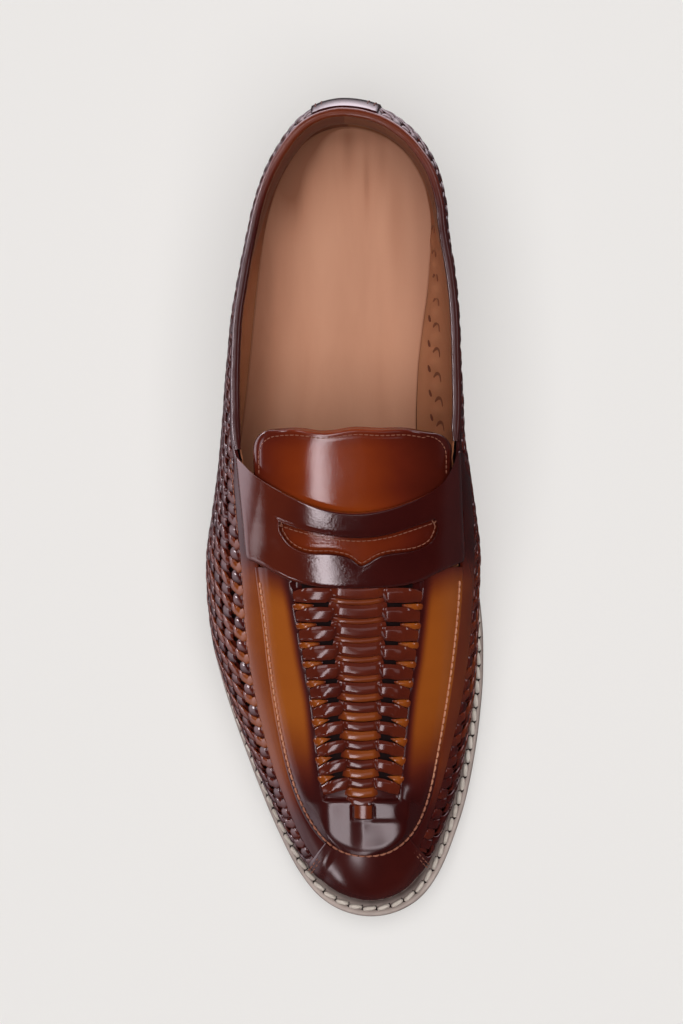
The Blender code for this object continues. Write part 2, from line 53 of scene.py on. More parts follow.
# ---------------------------------------------------------------- sizes of the last and its parts
LENGTH = 300.0                  # back of the heel to the tip of the welt
SOLE_THICKNESS = 5.0
WELT_THICKNESS = 3.5
WALL = 2.2                      # leather and lining together
HEEL_PAD = 5.2                  # padded wall at the back of the collar
INSOLE_RISE = 3.0               # footbed's top above the welt's top
GAP = 0.3                       # clearance between pieces that touch
BINDING_RADIUS = 1.7
HEEL_FAN, TOE_FAN = LENGTH / 3, LENGTH * 2 / 3      # past these, sections turn round the ends
HEEL_CENTRE, TOE_CENTRE = LENGTH * 0.207, LENGTH * 0.84
HEEL_BREAST = 0.24 * LENGTH     # front face of the heel block
COLLAR_CORNER = LENGTH * 0.4367
WELT_LOW = SOLE_THICKNESS + GAP                     # heights above the sole's underside
WELT_HIGH = WELT_LOW + WELT_THICKNESS
FEATHER_RISE = WELT_HIGH + GAP                      # line where the upper meets the welt
LASTING_ANGLE = math.radians(30)                    # how steeply the wall leaves that line

# Line where the upper meets the welt.
FEATHER_LINE = {
    "columns": ("y", "outer_x", "inner_x"),
    "rows": (
        (7, -1.0, -1.0), (12, 13.6, -17.6), (20, 20.6, -25.8), (32, 26.6, -31.4),
        (45, 30.2, -33.2), (67, 33.2, -31.7), (82, 34.8, -29.7), (97, 36.4, -28.0),
        (117, 39.0, -27.2), (135, 42.2, -30.2), (150, 44.9, -36.4), (165, 47.0, -42.2),
        (180, 47.8, -45.6), (195, 46.6, -46.5), (210, 42.9, -46.0), (225, 37.9, -44.4),
        (240, 32.1, -41.9), (255, 25.7, -38.4), (268, 19.3, -33.9), (280, 11.9, -28.4),
        (287, 5.2, -23.0), (292, -9.6, -9.6),
    ),
}
# How far the wall stands out beyond that line, and how high above it.
WALL_BULGE = {
    "columns": ("y", "outer_x", "inner_x", "outer_rise", "inner_rise"),
    "rows": (
        (7, 6.0, 6.0, 22, 22), (20, 4.0, 5.6, 22, 26), (45, 3.2, 5.4, 22, 35),
        (67, 4.5, 9.4, 22, 42), (82, 5.4, 12.6, 22, 46), (97, 5.4, 14.8, 20, 48),
        (117, 4.5, 16.4, 18, 47), (135, 3.2, 15.6, 16, 40), (150, 2.9, 11.4, 15, 30),
        (165, 3.2, 7.2, 13, 20), (180, 2.4, 3.4, 12, 14), (200, 1.9, 1.9, 11, 11),
        (250, 1.5, 1.4, 10, 10), (292, 1.2, 1.2, 8, 8),
    ),
}
# The last's ridge, and how square its sections are: 2 is an ellipse, more is boxier.
RIDGE = {
    "columns": ("y", "x", "rise", "squareness"),
    "rows": (
        (60, -2.0, 134, 2.2), (80, -2.5, 121, 2.3), (95, -3.0, 113, 2.45),
        (110, -3.0, 106, 2.65), (120, -3.2, 101.5, 2.85), (130, -3.5, 96.5, 3.0),
        (140, -4.0, 91.5, 2.9), (150, -4.6, 86, 2.8), (165, -5.5, 77.5, 2.6),
        (180, -6.0, 70, 2.5), (200, -6.4, 62, 2.4), (220, -7.0, 55.3, 2.3),
        (240, -8.0, 49.2, 2.2), (252, -8.6, 45.8, 2.2),
    ),
}
# Height of the collar's edge on each side.
TOPLINE = {
    "columns": ("y", "outer_rise", "inner_rise"),
    "rows": (
        (7, 88, 88), (20, 84.5, 85.5), (40, 78.5, 80.5), (60, 75.5, 78),
        (84, 75, 77.5), (108, 76.5, 79), (120, 78, 80), (131, 80, 81),
    ),
}
# Underside of the sole.
SOLE_BOTTOM = {
    "columns": ("y", "z"),
    "rows": (
        (4, 23), (35, 22), (72, 19.5), (100, 14), (130, 7.3), (155, 2.6), (174, 0.4),
        (184, 0), (228, 0), (245, 0.8), (265, 3), (285, 6.4), (301, 9.5),
    ),
}
# How far the welt's edge stands out beyond the line where the upper meets it.
WELT_MARGIN = {
    "columns": ("y", "outer_x", "inner_x"),
    "rows": (
        (7, 1.8, 1.8), (45, 2.0, 2.2), (97, 2.2, 2.0), (130, 2.8, 2.4), (165, 3.4, 3.4),
        (185, 3.6, 4.0), (200, 3.7, 4.6), (225, 4.1, 5.4), (255, 4.9, 6.3), (280, 6.2, 7.1),
        (292, 7.6, 7.6),
    ),
}
LAST_BACK, LAST_TOE = FEATHER_LINE["rows"][0][0], FEATHER_LINE["rows"][-1][0]
TOE_MARGIN = WELT_MARGIN["rows"][-1][1]
ORIGIN_Y = LAST_TOE + TOE_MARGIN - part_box("outsole")[1][1] / MM    # y of the frame's origin


# ---------------------------------------------------------------- the last's surface
def monotone_cubic(xs, ys, at):
    """Smooth curve through the points (xs, ys) that never overshoots them."""
    xs, ys, at = (np.asarray(a, dtype=float) for a in (xs, ys, at))
    steps = np.diff(xs)
    rises = np.diff(ys) / steps
    slopes = np.empty_like(ys)
    slopes[0], slopes[-1] = rises[0], rises[-1]
    left = 2 * steps[1:] + steps[:-1]
    right = steps[1:] + 2 * steps[:-1]
    same_way = rises[:-1] * rises[1:] > 0
    safe = np.where(same_way, rises[:-1], 1.0), np.where(same_way, rises[1:], 1.0)
    slopes[1:-1] = np.where(same_way, (left + right) / (left / safe[0] + right / safe[1]), 0.0)
    i = np.clip(np.searchsorted(xs, at) - 1, 0, len(steps) - 1)
    u = np.clip((at - xs[i]) / steps[i], 0, 1)
    return (
        ys[i] * (1 + 2 * u) * (1 - u) ** 2 + ys[i + 1] * u * u * (3 - 2 * u)
        + steps[i] * u * (1 - u) * (slopes[i] * (1 - u) - slopes[i + 1] * u)
    )


def column(table, name):
    """One column of a table, by its name."""
    index = table["columns"].index(name)
    return np.array([row[index] for row in table["rows"]], dtype=float)


def read(table, name, y):
    """Value of a table's column at y."""
    return monotone_cubic(column(table, "y"), column(table, name), y)


def read_side(table, name, side, y):
    """Value of a column that has an outer and an inner version; side is 1 or -1."""
    return np.where(side > 0, read(table, "outer_" + name, y), read(table, "inner_" + name, y))


def station_y(t):
    """Distance from the heel of station t, which runs from 0 at the heel to 1 at the toe."""
    return LAST_BACK + (LAST_TOE - LAST_BACK) * (1 - np.cos(math.pi * t)) / 2


def station_at(y):
    """Station at a distance from the heel."""
    return np.arccos(np.clip(1 - 2 * (y - LAST_BACK) / (LAST_TOE - LAST_BACK), -1, 1)) / math.pi


def feather_point(side, t):
    """Plan position of the line where the upper meets the welt."""
    knots = station_at(column(FEATHER_LINE, "y"))
    outer = monotone_cubic(knots, column(FEATHER_LINE, "outer_x"), t)
    inner = monotone_cubic(knots, column(FEATHER_LINE, "inner_x"), t)
    return np.stack([np.where(side > 0, outer, inner), station_y(t)], axis=-1)


def unit(vectors):
    """Vectors scaled to a length of 1."""
    return vectors / np.linalg.norm(vectors, axis=-1, keepdims=True)


def edge_point(side, t, outward):
    """Plan position at a distance outward from the welt line."""
    step = 1e-4
    ahead, behind = np.minimum(t + step, 1), np.maximum(t - step, 0)
    along = unit(feather_point(side, ahead) - feather_point(side, behind))
    sign = np.asarray(side, dtype=float)[..., None]
    normal = sign * np.stack([along[..., 1], -along[..., 0]], axis=-1)
    normal = np.where((t < step)[..., None], (0, -1), normal)
    normal = np.where((t > 1 - step)[..., None], (0, 1), normal)
    return feather_point(side, t) + normal * np.asarray(outward)[..., None]


def sole_bottom(y):
    """Height of the sole's underside."""
    return read(SOLE_BOTTOM, "z", y)


def spine_y(y):
    """Where on the ridge a section from the welt line at y ends: they fan out at both ends."""
    heel_span, toe_span = HEEL_FAN - LAST_BACK, LAST_TOE - TOE_FAN
    heel_move, toe_move = HEEL_FAN - HEEL_CENTRE, TOE_CENTRE - TOE_FAN
    heel_share = np.clip(y - LAST_BACK, 0, None) / heel_span
    toe_share = np.clip(LAST_TOE - y, 0, None) / toe_span
    heel = HEEL_CENTRE + heel_move * heel_share ** (heel_span / heel_move)
    toe = TOE_FAN + toe_move * (1 - toe_share ** (toe_span / toe_move))
    return np.where(y < HEEL_FAN, heel, np.where(y > TOE_FAN, toe, y))


def section_line(side, t):
    """A section's plan line: its ridge point, and the way from there to the welt line."""
    ridge_y = spine_y(station_y(t))
    ridge = np.stack([read(RIDGE, "x", ridge_y), ridge_y], axis=-1)
    return ridge, feather_point(side, t) - ridge


def section(side, t):
    """Sizes of the section at station t: where it starts, how it bulges, where its ridge is."""
    y = station_y(t)
    ridge, reach = section_line(side, t)
    ridge_y = ridge[..., 1]
    length = np.linalg.norm(reach, axis=-1)
    low = sole_bottom(y) + FEATHER_RISE
    return {
        "ridge": ridge,
        "outward": reach / length[..., None],
        "foot_reach": length,
        "reach": length + read_side(WALL_BULGE, "x", side, y),
        "low": low,
        "middle": low + read_side(WALL_BULGE, "rise", side, y),
        "top": read(RIDGE, "rise", ridge_y),
        "ridge_slope": (read(RIDGE, "rise", ridge_y) - read(RIDGE, "rise", ridge_y - 2)) / 2,
        "squareness": read(RIDGE, "squareness", ridge_y),
    }


def last_point(side, t, v):
    """Point of the upper's outer surface: v is 0 at the welt, 1 at the widest line, 2 at the ridge."""
    s = section(side, t)
    lean = LASTING_ANGLE + (math.pi / 2 - LASTING_ANGLE) * np.clip(v, 0, 1)
    swell = (np.sin(lean) - math.sin(LASTING_ANGLE)) / (1 - math.sin(LASTING_ANGLE))
    low_reach = s["foot_reach"] + (s["reach"] - s["foot_reach"]) * swell
    low_z = s["middle"] - (s["middle"] - s["low"]) * np.cos(lean) / math.cos(LASTING_ANGLE)
    turn = np.clip(v - 1, 0, 1) * math.pi / 2
    power = 2 / s["squareness"]
    high_reach = s["reach"] * np.clip(np.cos(turn), 0, 1) ** power
    high_z = s["middle"] + (s["top"] - s["middle"]) * np.sin(turn) ** power
    reach = np.where(v < 1, low_reach, high_reach)
    z = np.where(v < 1, low_z, high_z)
    plan = s["ridge"] + s["outward"] * reach[..., None]
    past_ridge = np.clip(plan[..., 1] - s["ridge"][..., 1], 0, None)
    z = z + np.where(v < 1, 0, s["ridge_slope"] * past_ridge * np.sin(turn) ** power)
    return np.concatenate([plan, z[..., None]], axis=-1)


def surface(side, t, v, lift=0.0):
    """Points at a height above the last's surface, and the surface's normals there."""
    side, t, v, lift = np.broadcast_arrays(
        np.asarray(side, dtype=float), np.asarray(t, dtype=float),
        np.asarray(v, dtype=float), np.asarray(lift, dtype=float))
    step_t, step_v = 4e-4, 2e-3
    flat_v = np.clip(v, step_v, 1.985)
    across = last_point(side, t, flat_v + step_v) - last_point(side, t, flat_v - step_v)
    along = (last_point(side, np.minimum(t + step_t, 1), flat_v)
             - last_point(side, np.maximum(t - step_t, 0), flat_v))
    normal = np.cross(along, across)
    outward = section(side, t)["outward"]
    high = np.clip(v - 1, 0, 1)[..., None]
    facing = np.concatenate([outward * (1 - high), high], axis=-1)
    sign = np.where(np.sum(normal * facing, axis=-1, keepdims=True) < 0, -1.0, 1.0)
    length = np.maximum(np.linalg.norm(normal, axis=-1, keepdims=True), 1e-12)
    normal = normal * sign / length
    return last_point(side, t, v) + normal * lift[..., None], normal


def middle_x(y):
    """Plan line between the two sides: the ridge, then straight to the heel's and the toe's ends."""
    heel, toe = FEATHER_LINE["rows"][0], FEATHER_LINE["rows"][-1]
    heel_end = heel[1] - read(RIDGE, "x", HEEL_CENTRE)
    toe_end = toe[1] - read(RIDGE, "x", TOE_CENTRE)
    places = (heel[0], HEEL_CENTRE, TOE_CENTRE, toe[0])
    ridge = read(RIDGE, "x", np.clip(y, HEEL_CENTRE, TOE_CENTRE))
    return ridge + np.interp(y, places, (heel_end, 0, 0, toe_end))


def locate(x, y):
    """Side, station and height v of the surface point above the plan point (x, y)."""
    x, y = np.broadcast_arrays(np.asarray(x, dtype=float), np.asarray(y, dtype=float))
    plan = np.stack([x, y], axis=-1)
    side = np.where(x > middle_x(y), 1.0, -1.0)
    low, high = np.zeros_like(x), np.ones_like(x)
    for _ in range(34):
        t = (low + high) / 2
        ridge, way = section_line(side, t)
        off = plan - ridge
        ahead = (way[..., 0] * off[..., 1] - way[..., 1] * off[..., 0]) * side > 0
        low, high = np.where(ahead, t, low), np.where(ahead, high, t)
    t = (low + high) / 2
    s = section(side, t)
    share = np.clip(np.linalg.norm(plan - s["ridge"], axis=-1) / s["reach"], 0, 1)
    turn = np.arccos(np.clip(share ** (s["squareness"] / 2), 0, 1))
    return side, t, 1 + turn / (math.pi / 2)


def on_top(x, y, lift):
    """Points that lie over the plan points at a height above the surface, and the normals there."""
    _, normal = surface(*locate(x, y))
    lift = np.asarray(lift, dtype=float)
    side, t, v = locate(x - normal[..., 0] * lift, y - normal[..., 1] * lift)
    return surface(side, t, v, lift)


def collar_v(side, t):
    """Height v of the collar's edge at station t."""
    s = section(side, t)
    rise = (read_side(TOPLINE, "rise", side, station_y(t)) - s["middle"]) / (s["top"] - s["middle"])
    return 1 + np.arcsin(np.clip(rise, 0, 1) ** (s["squareness"] / 2)) / (math.pi / 2)


# ---------------------------------------------------------------- lines on the surface
def run_along(line):
    """Distance along a line of points, from its start."""
    steps = np.linalg.norm(np.diff(line, axis=0), axis=1)
    return np.concatenate([[0], np.cumsum(steps)])


def resample(line, count):
    """The same line with its points evenly spaced."""
    run = run_along(line)
    at = np.linspace(0, run[-1], count)
    return np.stack([np.interp(at, run, line[:, k]) for k in range(line.shape[1])], axis=-1)


def spline(points, spacing):
    """Natural cubic spline through the points, evenly sampled."""
    points = np.asarray(points, dtype=float)
    run = run_along(points)
    steps = np.diff(run)
    count = len(points)
    slopes = np.diff(points, axis=0) / steps[:, None]
    system, right = np.eye(count), np.zeros_like(points)
    for i in range(1, count - 1):
        system[i, i - 1:i + 2] = steps[i - 1], 2 * (steps[i - 1] + steps[i]), steps[i]
        right[i] = 6 * (slopes[i] - slopes[i - 1])
    bend = np.linalg.solve(system, right)
    at = np.linspace(0, run[-1], 30 * count)
    i = np.clip(np.searchsorted(run, at) - 1, 0, count - 2)
    a, b, h = (run[i + 1] - at)[:, None], (at - run[i])[:, None], steps[i][:, None]
    line = (
        bend[i] * a ** 3 / (6 * h) + bend[i + 1] * b ** 3 / (6 * h)
        + (points[i] / h - bend[i] * h / 6) * a + (points[i + 1] / h - bend[i + 1] * h / 6) * b
    )
    return resample(line, max(int(run_along(line)[-1] / spacing) + 1, 8))


def plan_line(table, x, y, spacing=0.5):
    """Smooth plan line through the points of a table, whose columns are x and y."""
    return spline(np.column_stack([column(table, x), column(table, y)]), spacing)


def plan_offset(line, distance):
    """A plan line moved to its right-hand side by a distance."""
    along = unit(np.gradient(line, axis=0))
    return line + np.stack([along[:, 1], -along[:, 0]], axis=-1) * distance


def smooth_step(low, high, value):
    """0 up to low and 1 from high on, with a soft rise between; low may be the greater."""
    u = np.clip((np.asarray(value, dtype=float) - low) / (high - low), 0, 1)
    return u * u * (3 - 2 * u)


def blend(low, high, share):
    """Value a share of the way from low to high."""
    return low + (high - low) * share


# Stitch line of the apron's seam in plan, from the outer side round the toe to the inner side.
APRON_SEAM = {
    "columns": ("x", "y"),
    "rows": (
        (31.2, 150.0), (30.1, 170.8), (28.5, 184.5), (26.8, 201.0), (24.6, 219.0), (21.3, 237.5),
        (16.6, 254.0), (11.3, 264.4), (5.3, 271.4), (-1.2, 275.0), (-9.0, 276.0), (-17.0, 274.2),
        (-24.0, 268.8), (-29.4, 259.0), (-33.8, 241.5), (-37.4, 221.0), (-40.3, 200.8),
        (-42.0, 184.0), (-42.8, 169.9), (-43.2, 150.0),
    ),
}
# Upper edge of the woven sides in front of the strap.
WEAVE_TOP = {
    "columns": ("y", "outer_x", "inner_x"),
    "rows": (
        (140, 38.4, -46.6), (155, 37.4, -47.6), (173, 36.2, -47.8), (186, 35.6, -47.1),
        (200, 34.6, -45.8), (214, 32.6, -43.9), (225, 30.5, -41.8), (236, 27.9, -39.2),
        (245, 25.4, -37.0), (253, 22.6, -34.8), (261, 19.6, -32.2), (270, 15.6, -28.8),
    ),
}
EDGE_PAST_STITCHES = 1.3        # the apron's edge beyond its stitch line
TOE_SEAM = {1: (11.8, 278.4), -1: (-28.5, 275.4)}       # a plan point on each toe seam
COLLAR_STRIP = 3.0              # plain leather between the binding and the weave
BACK_STRIP_HALF = 11.0          # along the welt line, each side of the heel's centre

STITCH_LINE = plan_line(APRON_SEAM, "x", "y")
APRON_EDGE = plan_offset(STITCH_LINE, EDGE_PAST_STITCHES)
EDGE_SIDE, EDGE_T, EDGE_V = locate(*APRON_EDGE.T)


def apron_edge_v(side, t):
    """Height v of the apron's edge at station t."""
    found = EDGE_SIDE == side
    order = np.argsort(EDGE_T[found])
    return np.interp(t, EDGE_T[found][order], EDGE_V[found][order])


def weave_top_ahead_v(side, t):
    """Height v of the weave's upper edge at station t, ahead of the collar."""
    plan = plan_line(WEAVE_TOP, "outer_x" if side > 0 else "inner_x", "y")
    _, at_t, at_v = locate(*plan.T)
    order = np.argsort(at_t)
    return np.interp(t, at_t[order], at_v[order])


def edge_run(points):
    """Distance from the first point of each row."""
    steps = np.linalg.norm(np.diff(points, axis=1), axis=2)
    return np.concatenate([np.zeros((len(points), 1)), np.cumsum(steps, axis=1)], axis=1)


def v_below(side, t, top, distance):
    """Heights v at a distance below v = top at each station, and how far down the welt line is."""
    v = top[:, None] * np.linspace(1, 0, 90)
    run = edge_run(last_point(side, t[:, None], v))
    return np.array([np.interp(distance, r, row) for r, row in zip(run, v)]), run[:, -1]


def weave_top_v(side, t):
    """Height v of the weave's upper edge: a strip below the collar, then the line in front."""
    collar = collar_v(side, np.minimum(t, station_at(COLLAR_CORNER)))
    behind, _ = v_below(side, t, collar, COLLAR_STRIP)
    ahead = weave_top_ahead_v(side, t)
    return blend(behind, ahead, smooth_step(COLLAR_CORNER - 9, COLLAR_CORNER + 14, station_y(t)))


def panel_top_v(side, t):
    """Height v of the plain panels' upper edge: the collar, then the apron's edge."""
    collar = collar_v(side, np.minimum(t, station_at(COLLAR_CORNER)))
    ahead = apron_edge_v(side, t) + 0.02
    return blend(collar, ahead, smooth_step(COLLAR_CORNER, COLLAR_CORNER + 16, station_y(t)))


def even_t(side, first, last, spacing, v=0.5):
    """Stations from first to last at an even spacing along the side's wall."""
    fine = np.linspace(first, last, 1500)
    run = run_along(last_point(side, fine, v))
    count = max(int(round(run[-1] / spacing)), 2)
    return np.interp(np.linspace(0, run[-1], count + 1), run, fine)


# ---------------------------------------------------------------- meshes
def grid_faces(rows, columns, wrap_rows=False, wrap_columns=False):
    """Quads of a grid whose points are stored row by row."""
    r = np.arange(rows if wrap_rows else rows - 1)[:, None]
    c = np.arange(columns if wrap_columns else columns - 1)[None, :]
    r2, c2 = (r + 1) % rows, (c + 1) % columns
    quads = np.stack(np.broadcast_arrays(
        r * columns + c, r * columns + c2, r2 * columns + c2, r2 * columns + c), axis=-1)
    return quads.reshape(-1, 4)


def sheet(points, tone=0.0, wrap_rows=False, wrap_columns=False):
    """A grid of points as one part of a mesh: its points, its faces and each point's tone."""
    rows, columns = points.shape[:2]
    faces = grid_faces(rows, columns, wrap_rows, wrap_columns)
    return points.reshape(-1, 3), faces, np.broadcast_to(tone, (rows, columns)).reshape(-1)


def slab(points, normals, thickness, tone=0.0):
    """A closed sheet of leather: its top is the grid, its back lies a thickness below."""
    rows, columns = points.shape[:2]
    count = rows * columns
    back = points - normals * thickness
    faces = grid_faces(rows, columns)
    border = np.concatenate([
        np.arange(columns), np.arange(1, rows) * columns + columns - 1,
        (rows - 1) * columns + np.arange(columns - 2, -1, -1), np.arange(rows - 2, 0, -1) * columns])
    ahead = np.roll(border, -1)
    rim = np.stack([ahead, border, border + count, ahead + count], axis=-1)
    cloud = np.concatenate([points.reshape(-1, 3), back.reshape(-1, 3)])
    tones = np.tile(np.broadcast_to(tone, (rows, columns)).reshape(-1), 2)
    return cloud, np.concatenate([faces, faces[:, ::-1] + count, rim]), tones


def capped(rings, tone):
    """A closed strip or tube: rings of points in a row, the first and the last of them covered."""
    count, ring = rings.shape[:2]
    points, faces, _ = sheet(rings, wrap_columns=True)
    ends = cap_faces(ring, 0, False) + cap_faces(ring, (count - 1) * ring, True)
    return points, np.concatenate([faces, np.array(ends)]), np.repeat(np.broadcast_to(tone, count), ring)


def cap_faces(ring, start, flip):
    """Quads that close a ring of points; the middle one may be a triangle."""
    quads = []
    low, high = 0, ring - 1
    while high - low >= 2:
        quad = [start + low, start + low + 1, start + high - 1, start + high]
        quads.append(quad[::-1] if flip else quad)
        low, high = low + 1, high - 1
    return quads


# Section of a strip, round from its left edge: shares of its half-width and of its thickness.
RIBBON = {
    "columns": ("across", "rise"),
    "rows": (
        (-1.0, -0.45), (-0.84, -0.05), (-0.45, 0.1), (0.0, 0.14), (0.45, 0.1), (0.84, -0.05),
        (1.0, -0.45), (0.86, -1.0), (-0.86, -1.0),
    ),
}


def ribbon(centre, normal, half_width, thickness, tone=0.0):
    """A closed strip of leather with a crowned top along a line of points."""
    along = unit(np.gradient(centre, axis=0))
    across = unit(np.cross(normal, along))
    up = np.cross(along, across)
    half_width = np.broadcast_to(half_width, len(centre))[:, None, None]
    points = (
        centre[:, None] + across[:, None] * column(RIBBON, "across")[:, None] * half_width
        + up[:, None] * column(RIBBON, "rise")[:, None] * thickness
    )
    return capped(points, tone)


def tube(centre, radius, sides, tone, up=(0, 0, 1)):
    """A closed tube along a line of points; up is any direction across the line."""
    along = unit(np.gradient(centre, axis=0))
    across = unit(np.cross(along, up))
    rise = np.cross(across, along)
    angles = np.arange(sides)[:, None] * 2 * math.pi / sides
    radius = np.broadcast_to(radius, len(centre))[:, None, None]
    points = centre[:, None] + radius * (
        across[:, None] * np.cos(angles) + rise[:, None] * np.sin(angles))
    return capped(points, tone)


def joined(parts):
    """Several parts as one."""
    starts = np.cumsum([0] + [len(p[0]) for p in parts])
    points = np.concatenate([p[0] for p in parts])
    faces = np.concatenate([p[1] + start for p, start in zip(parts, starts)])
    return points, faces, np.concatenate([p[2] for p in parts])


def to_frame(points):
    """Points of the last in the frame's metres."""
    return (np.asarray(points, dtype=float) - (0, ORIGIN_Y, 0)) * MM


def piece(name, parts, material, nodes=(), sharp=50, merge=True):
    """Mesh object made of parts, which rides on the shoe's one body and may stand for CAD nodes."""
    points, faces, tone = joined(parts)
    mesh = bpy.data.meshes.new(name)
    quads = [tuple(dict.fromkeys(face)) for face in faces.tolist()]
    mesh.from_pydata(to_frame(points).tolist(), [], quads)
    mesh.attributes.new("tone", "FLOAT", "POINT").data.foreach_set("value", tone.astype(np.float32))
    work = bmesh.new()
    work.from_mesh(mesh)
    if merge:
        bmesh.ops.remove_doubles(work, verts=work.verts, dist=2e-6)
    bmesh.ops.recalc_face_normals(work, faces=work.faces)
    work.to_mesh(mesh)
    work.free()
    mesh.shade_smooth()
    mesh.set_sharp_from_angle(angle=math.radians(sharp))
    mesh.materials.append(material)
    thing = bpy.data.objects.new(name, mesh)
    bpy.context.scene.collection.objects.link(thing)
    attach(thing, "root")
    if nodes:
        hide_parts(*nodes)
    return thing


# ---------------------------------------------------------------- woven sides
WEAVE_PITCH = 4.25              # along the shoe, one strip to the next
LACE_PITCH = 6.3                # down the side, one lace to the next
WEAVE_DEPTH = 0.72              # how far a strip rises over and dips under
WEAVE_THICKNESS = 0.9
STRIP_STEPS, LACE_STEPS = 6, 5  # points along a strip or a lace from one crossing to the next
SLANT = 1.5                     # how far a strip leans towards the heel as it comes up
HEM, WOVEN = 3.4, 5.5           # a strip lies flat down to the hem, and is woven in full from there


def side_stations(side, spacing):
    """Even stations from the heel's centre to the toe seam."""
    _, toe, _ = locate(*TOE_SEAM[side])
    return even_t(side, 0.0, float(toe), spacing)


def over_under(phase):
    """A strip's height between -1 and 1 as it crosses the others; a whole phase is one crossing."""
    wave = np.cos(math.pi * phase)
    return np.sign(wave) * np.abs(wave) ** 0.42


def weave_strip(side, t, index, length, top):
    """Strip that runs down the side from the plain panel to the welt."""
    count = max(int(length / LACE_PITCH * STRIP_STEPS), 8)
    distance = np.linspace(-0.3, length, count)
    v = np.interp(distance, *v_run(side, t, top))
    phase = (distance - LACE_PITCH / 2) / LACE_PITCH + index
    slant = SLANT * np.sin(math.pi * phase) * smooth_step(0, 3, distance)
    centre, normal = surface(side, np.clip(t - slant / LENGTH, 0, 1), v)
    settled = smooth_step(-0.2, LACE_PITCH * 0.35, distance)
    over = over_under(phase)
    lift = WEAVE_DEPTH * over * settled + blend(0.45, 0.1, settled)
    lift = np.minimum(lift, blend(0.3, 2.0, smooth_step(HEM, WOVEN, distance)))
    hem_tone = 0.78 if side > 0 else 0.36
    # below the hem the strip is painted lighter where it rides over a lace and darker where it dips under
    # one: painted light and shade
    tone = blend(hem_tone, 0.37 + 0.1 * over, smooth_step(HEM - 0.4, WOVEN, distance))
    y = centre[:, 1]        # darker behind the strap and towards the toe
    tone = tone * blend(0.4, 1.0, smooth_step(150, 176, y)) * blend(1, 0.3, smooth_step(226, 256, y))
    half_width = WEAVE_PITCH * (0.42 + 0.04 * over)
    return ribbon(centre + normal * lift[:, None], normal, half_width, WEAVE_THICKNESS, tone)


def v_run(side, t, top):
    """Distances below the weave's upper edge at one station, and the heights v there."""
    v = np.linspace(top + 0.03, 0, 120)
    run = run_along(last_point(side, t, v))
    return run - np.interp(-top, -v, run), v


def weave_lace(side, stations, tops, lengths, index):
    """One lace that runs along the side, in the stretches where it is clear of the welt."""
    down = LACE_PITCH * (index + 0.5) - 0.6 * (index == 0)      # the first sits close under the hem
    count = len(stations)
    fine_t = np.interp(np.arange(0, count - 1, 1 / LACE_STEPS), np.arange(count), stations)
    strip = np.arange(len(fine_t)) / LACE_STEPS
    top = np.interp(fine_t, stations, tops)
    shown = np.interp(fine_t, stations, lengths) > down + 0.8
    v, _ = v_below(side, fine_t, top, down)
    centre, normal = surface(side, fine_t, v)
    over = -over_under(strip + index)
    lift = WEAVE_DEPTH * over - 0.05
    tone = 0.2 + 0.08 * np.sin(strip * 1.7 + index)
    edges = np.flatnonzero(np.diff(np.concatenate([[0], shown.astype(int), [0]])))
    parts = []
    for start, end in zip(edges[::2], edges[1::2]):
        if end - start > 2 * LACE_STEPS:
            span = slice(start, end)
            parts.append(ribbon(
                centre[span] + normal[span] * lift[span, None], normal[span],
                LACE_PITCH * (0.38 + 0.03 * over[span]), WEAVE_THICKNESS, tone[span]))
    return parts


def build_weave(material):
    """Strips and laces, over and under, from the toe seams round to the back strip."""
    parts = []
    for side in (1, -1):
        stations = side_stations(side, WEAVE_PITCH)
        stations = stations[station_y(stations) > LAST_BACK + 1.2]
        tops = weave_top_v(side, stations)
        _, lengths = v_below(side, stations, tops, 0.0)
        for index, (t, top, length) in enumerate(zip(stations, tops, lengths)):
            parts.append(weave_strip(side, t, index, length - 0.3, top))
        for index in range(int(lengths.max() / LACE_PITCH)):
            parts += weave_lace(side, stations, tops, lengths, index)
    return piece("woven_sides", parts, material, ("upper",), sharp=75, merge=False)


def both_sides(spacing):
    """Sides and stations from the outer toe seam round the heel to the inner one."""
    outer, inner = side_stations(1, spacing), side_stations(-1, spacing)
    side = np.concatenate([np.full(len(outer), 1.0), np.full(len(inner) - 1, -1.0)])
    return side, np.concatenate([outer[::-1], inner[1:]])


def by_side(function, side, t):
    """A function of one side's stations, applied to stations of both sides."""
    found = np.empty_like(t)
    for sign in (1, -1):
        found[side == sign] = function(sign, t[side == sign])
    return found


def build_weave_backing(material):
    """Leather behind the weave, painted near black as the shade seen through its gaps."""
    side, t = both_sides(2.5)
    top = by_side(panel_top_v, side, t)
    shares = np.linspace(0, 1, 40)
    v = top[:, None] * (1 - shares) + 0.01 * shares
    points, normals = surface(side[:, None], t[:, None], v, -1.5)
    return piece("weave_backing", [slab(points, normals, 0.3)], material)


# ---------------------------------------------------------------- plain panels and toe piece
TOE_STEP = 0.7                  # between the toe piece's stations
TOE_V = 22                      # millimetres to a step of 1 in v there
# Section of a plain panel, from the weave up to the collar or the apron.
PANEL = {
    "columns": ("share", "lift"),
    "rows": (
        (0, 0.2), (0.02, 0.3), (0.08, 0.38), (0.18, 0.42), (0.3, 0.45), (0.45, 0.48), (0.6, 0.5),
        (0.75, 0.45), (0.88, 0.4), (0.96, 0.3), (1.0, 0.2),
    ),
}


def build_side_panels(material):
    """Plain leather between the weave and the collar, and beside the apron."""
    side, t = both_sides(1.0)
    top = by_side(panel_top_v, side, t)
    low = by_side(weave_top_v, side, t)
    v = low[:, None] + (top - low)[:, None] * column(PANEL, "share")
    points, normals = surface(side[:, None], t[:, None], v, column(PANEL, "lift"))
    y = points[..., 1]
    tone = blend(0.1, 0.7, smooth_step(160, 178, y)) * blend(1.0, 0.22, smooth_step(240, 266, y))
    tone = tone * np.where(side[:, None] < 0, 0.62, 1.0)
    return piece("side_panels", [slab(points, normals, 1.0, tone)], material)


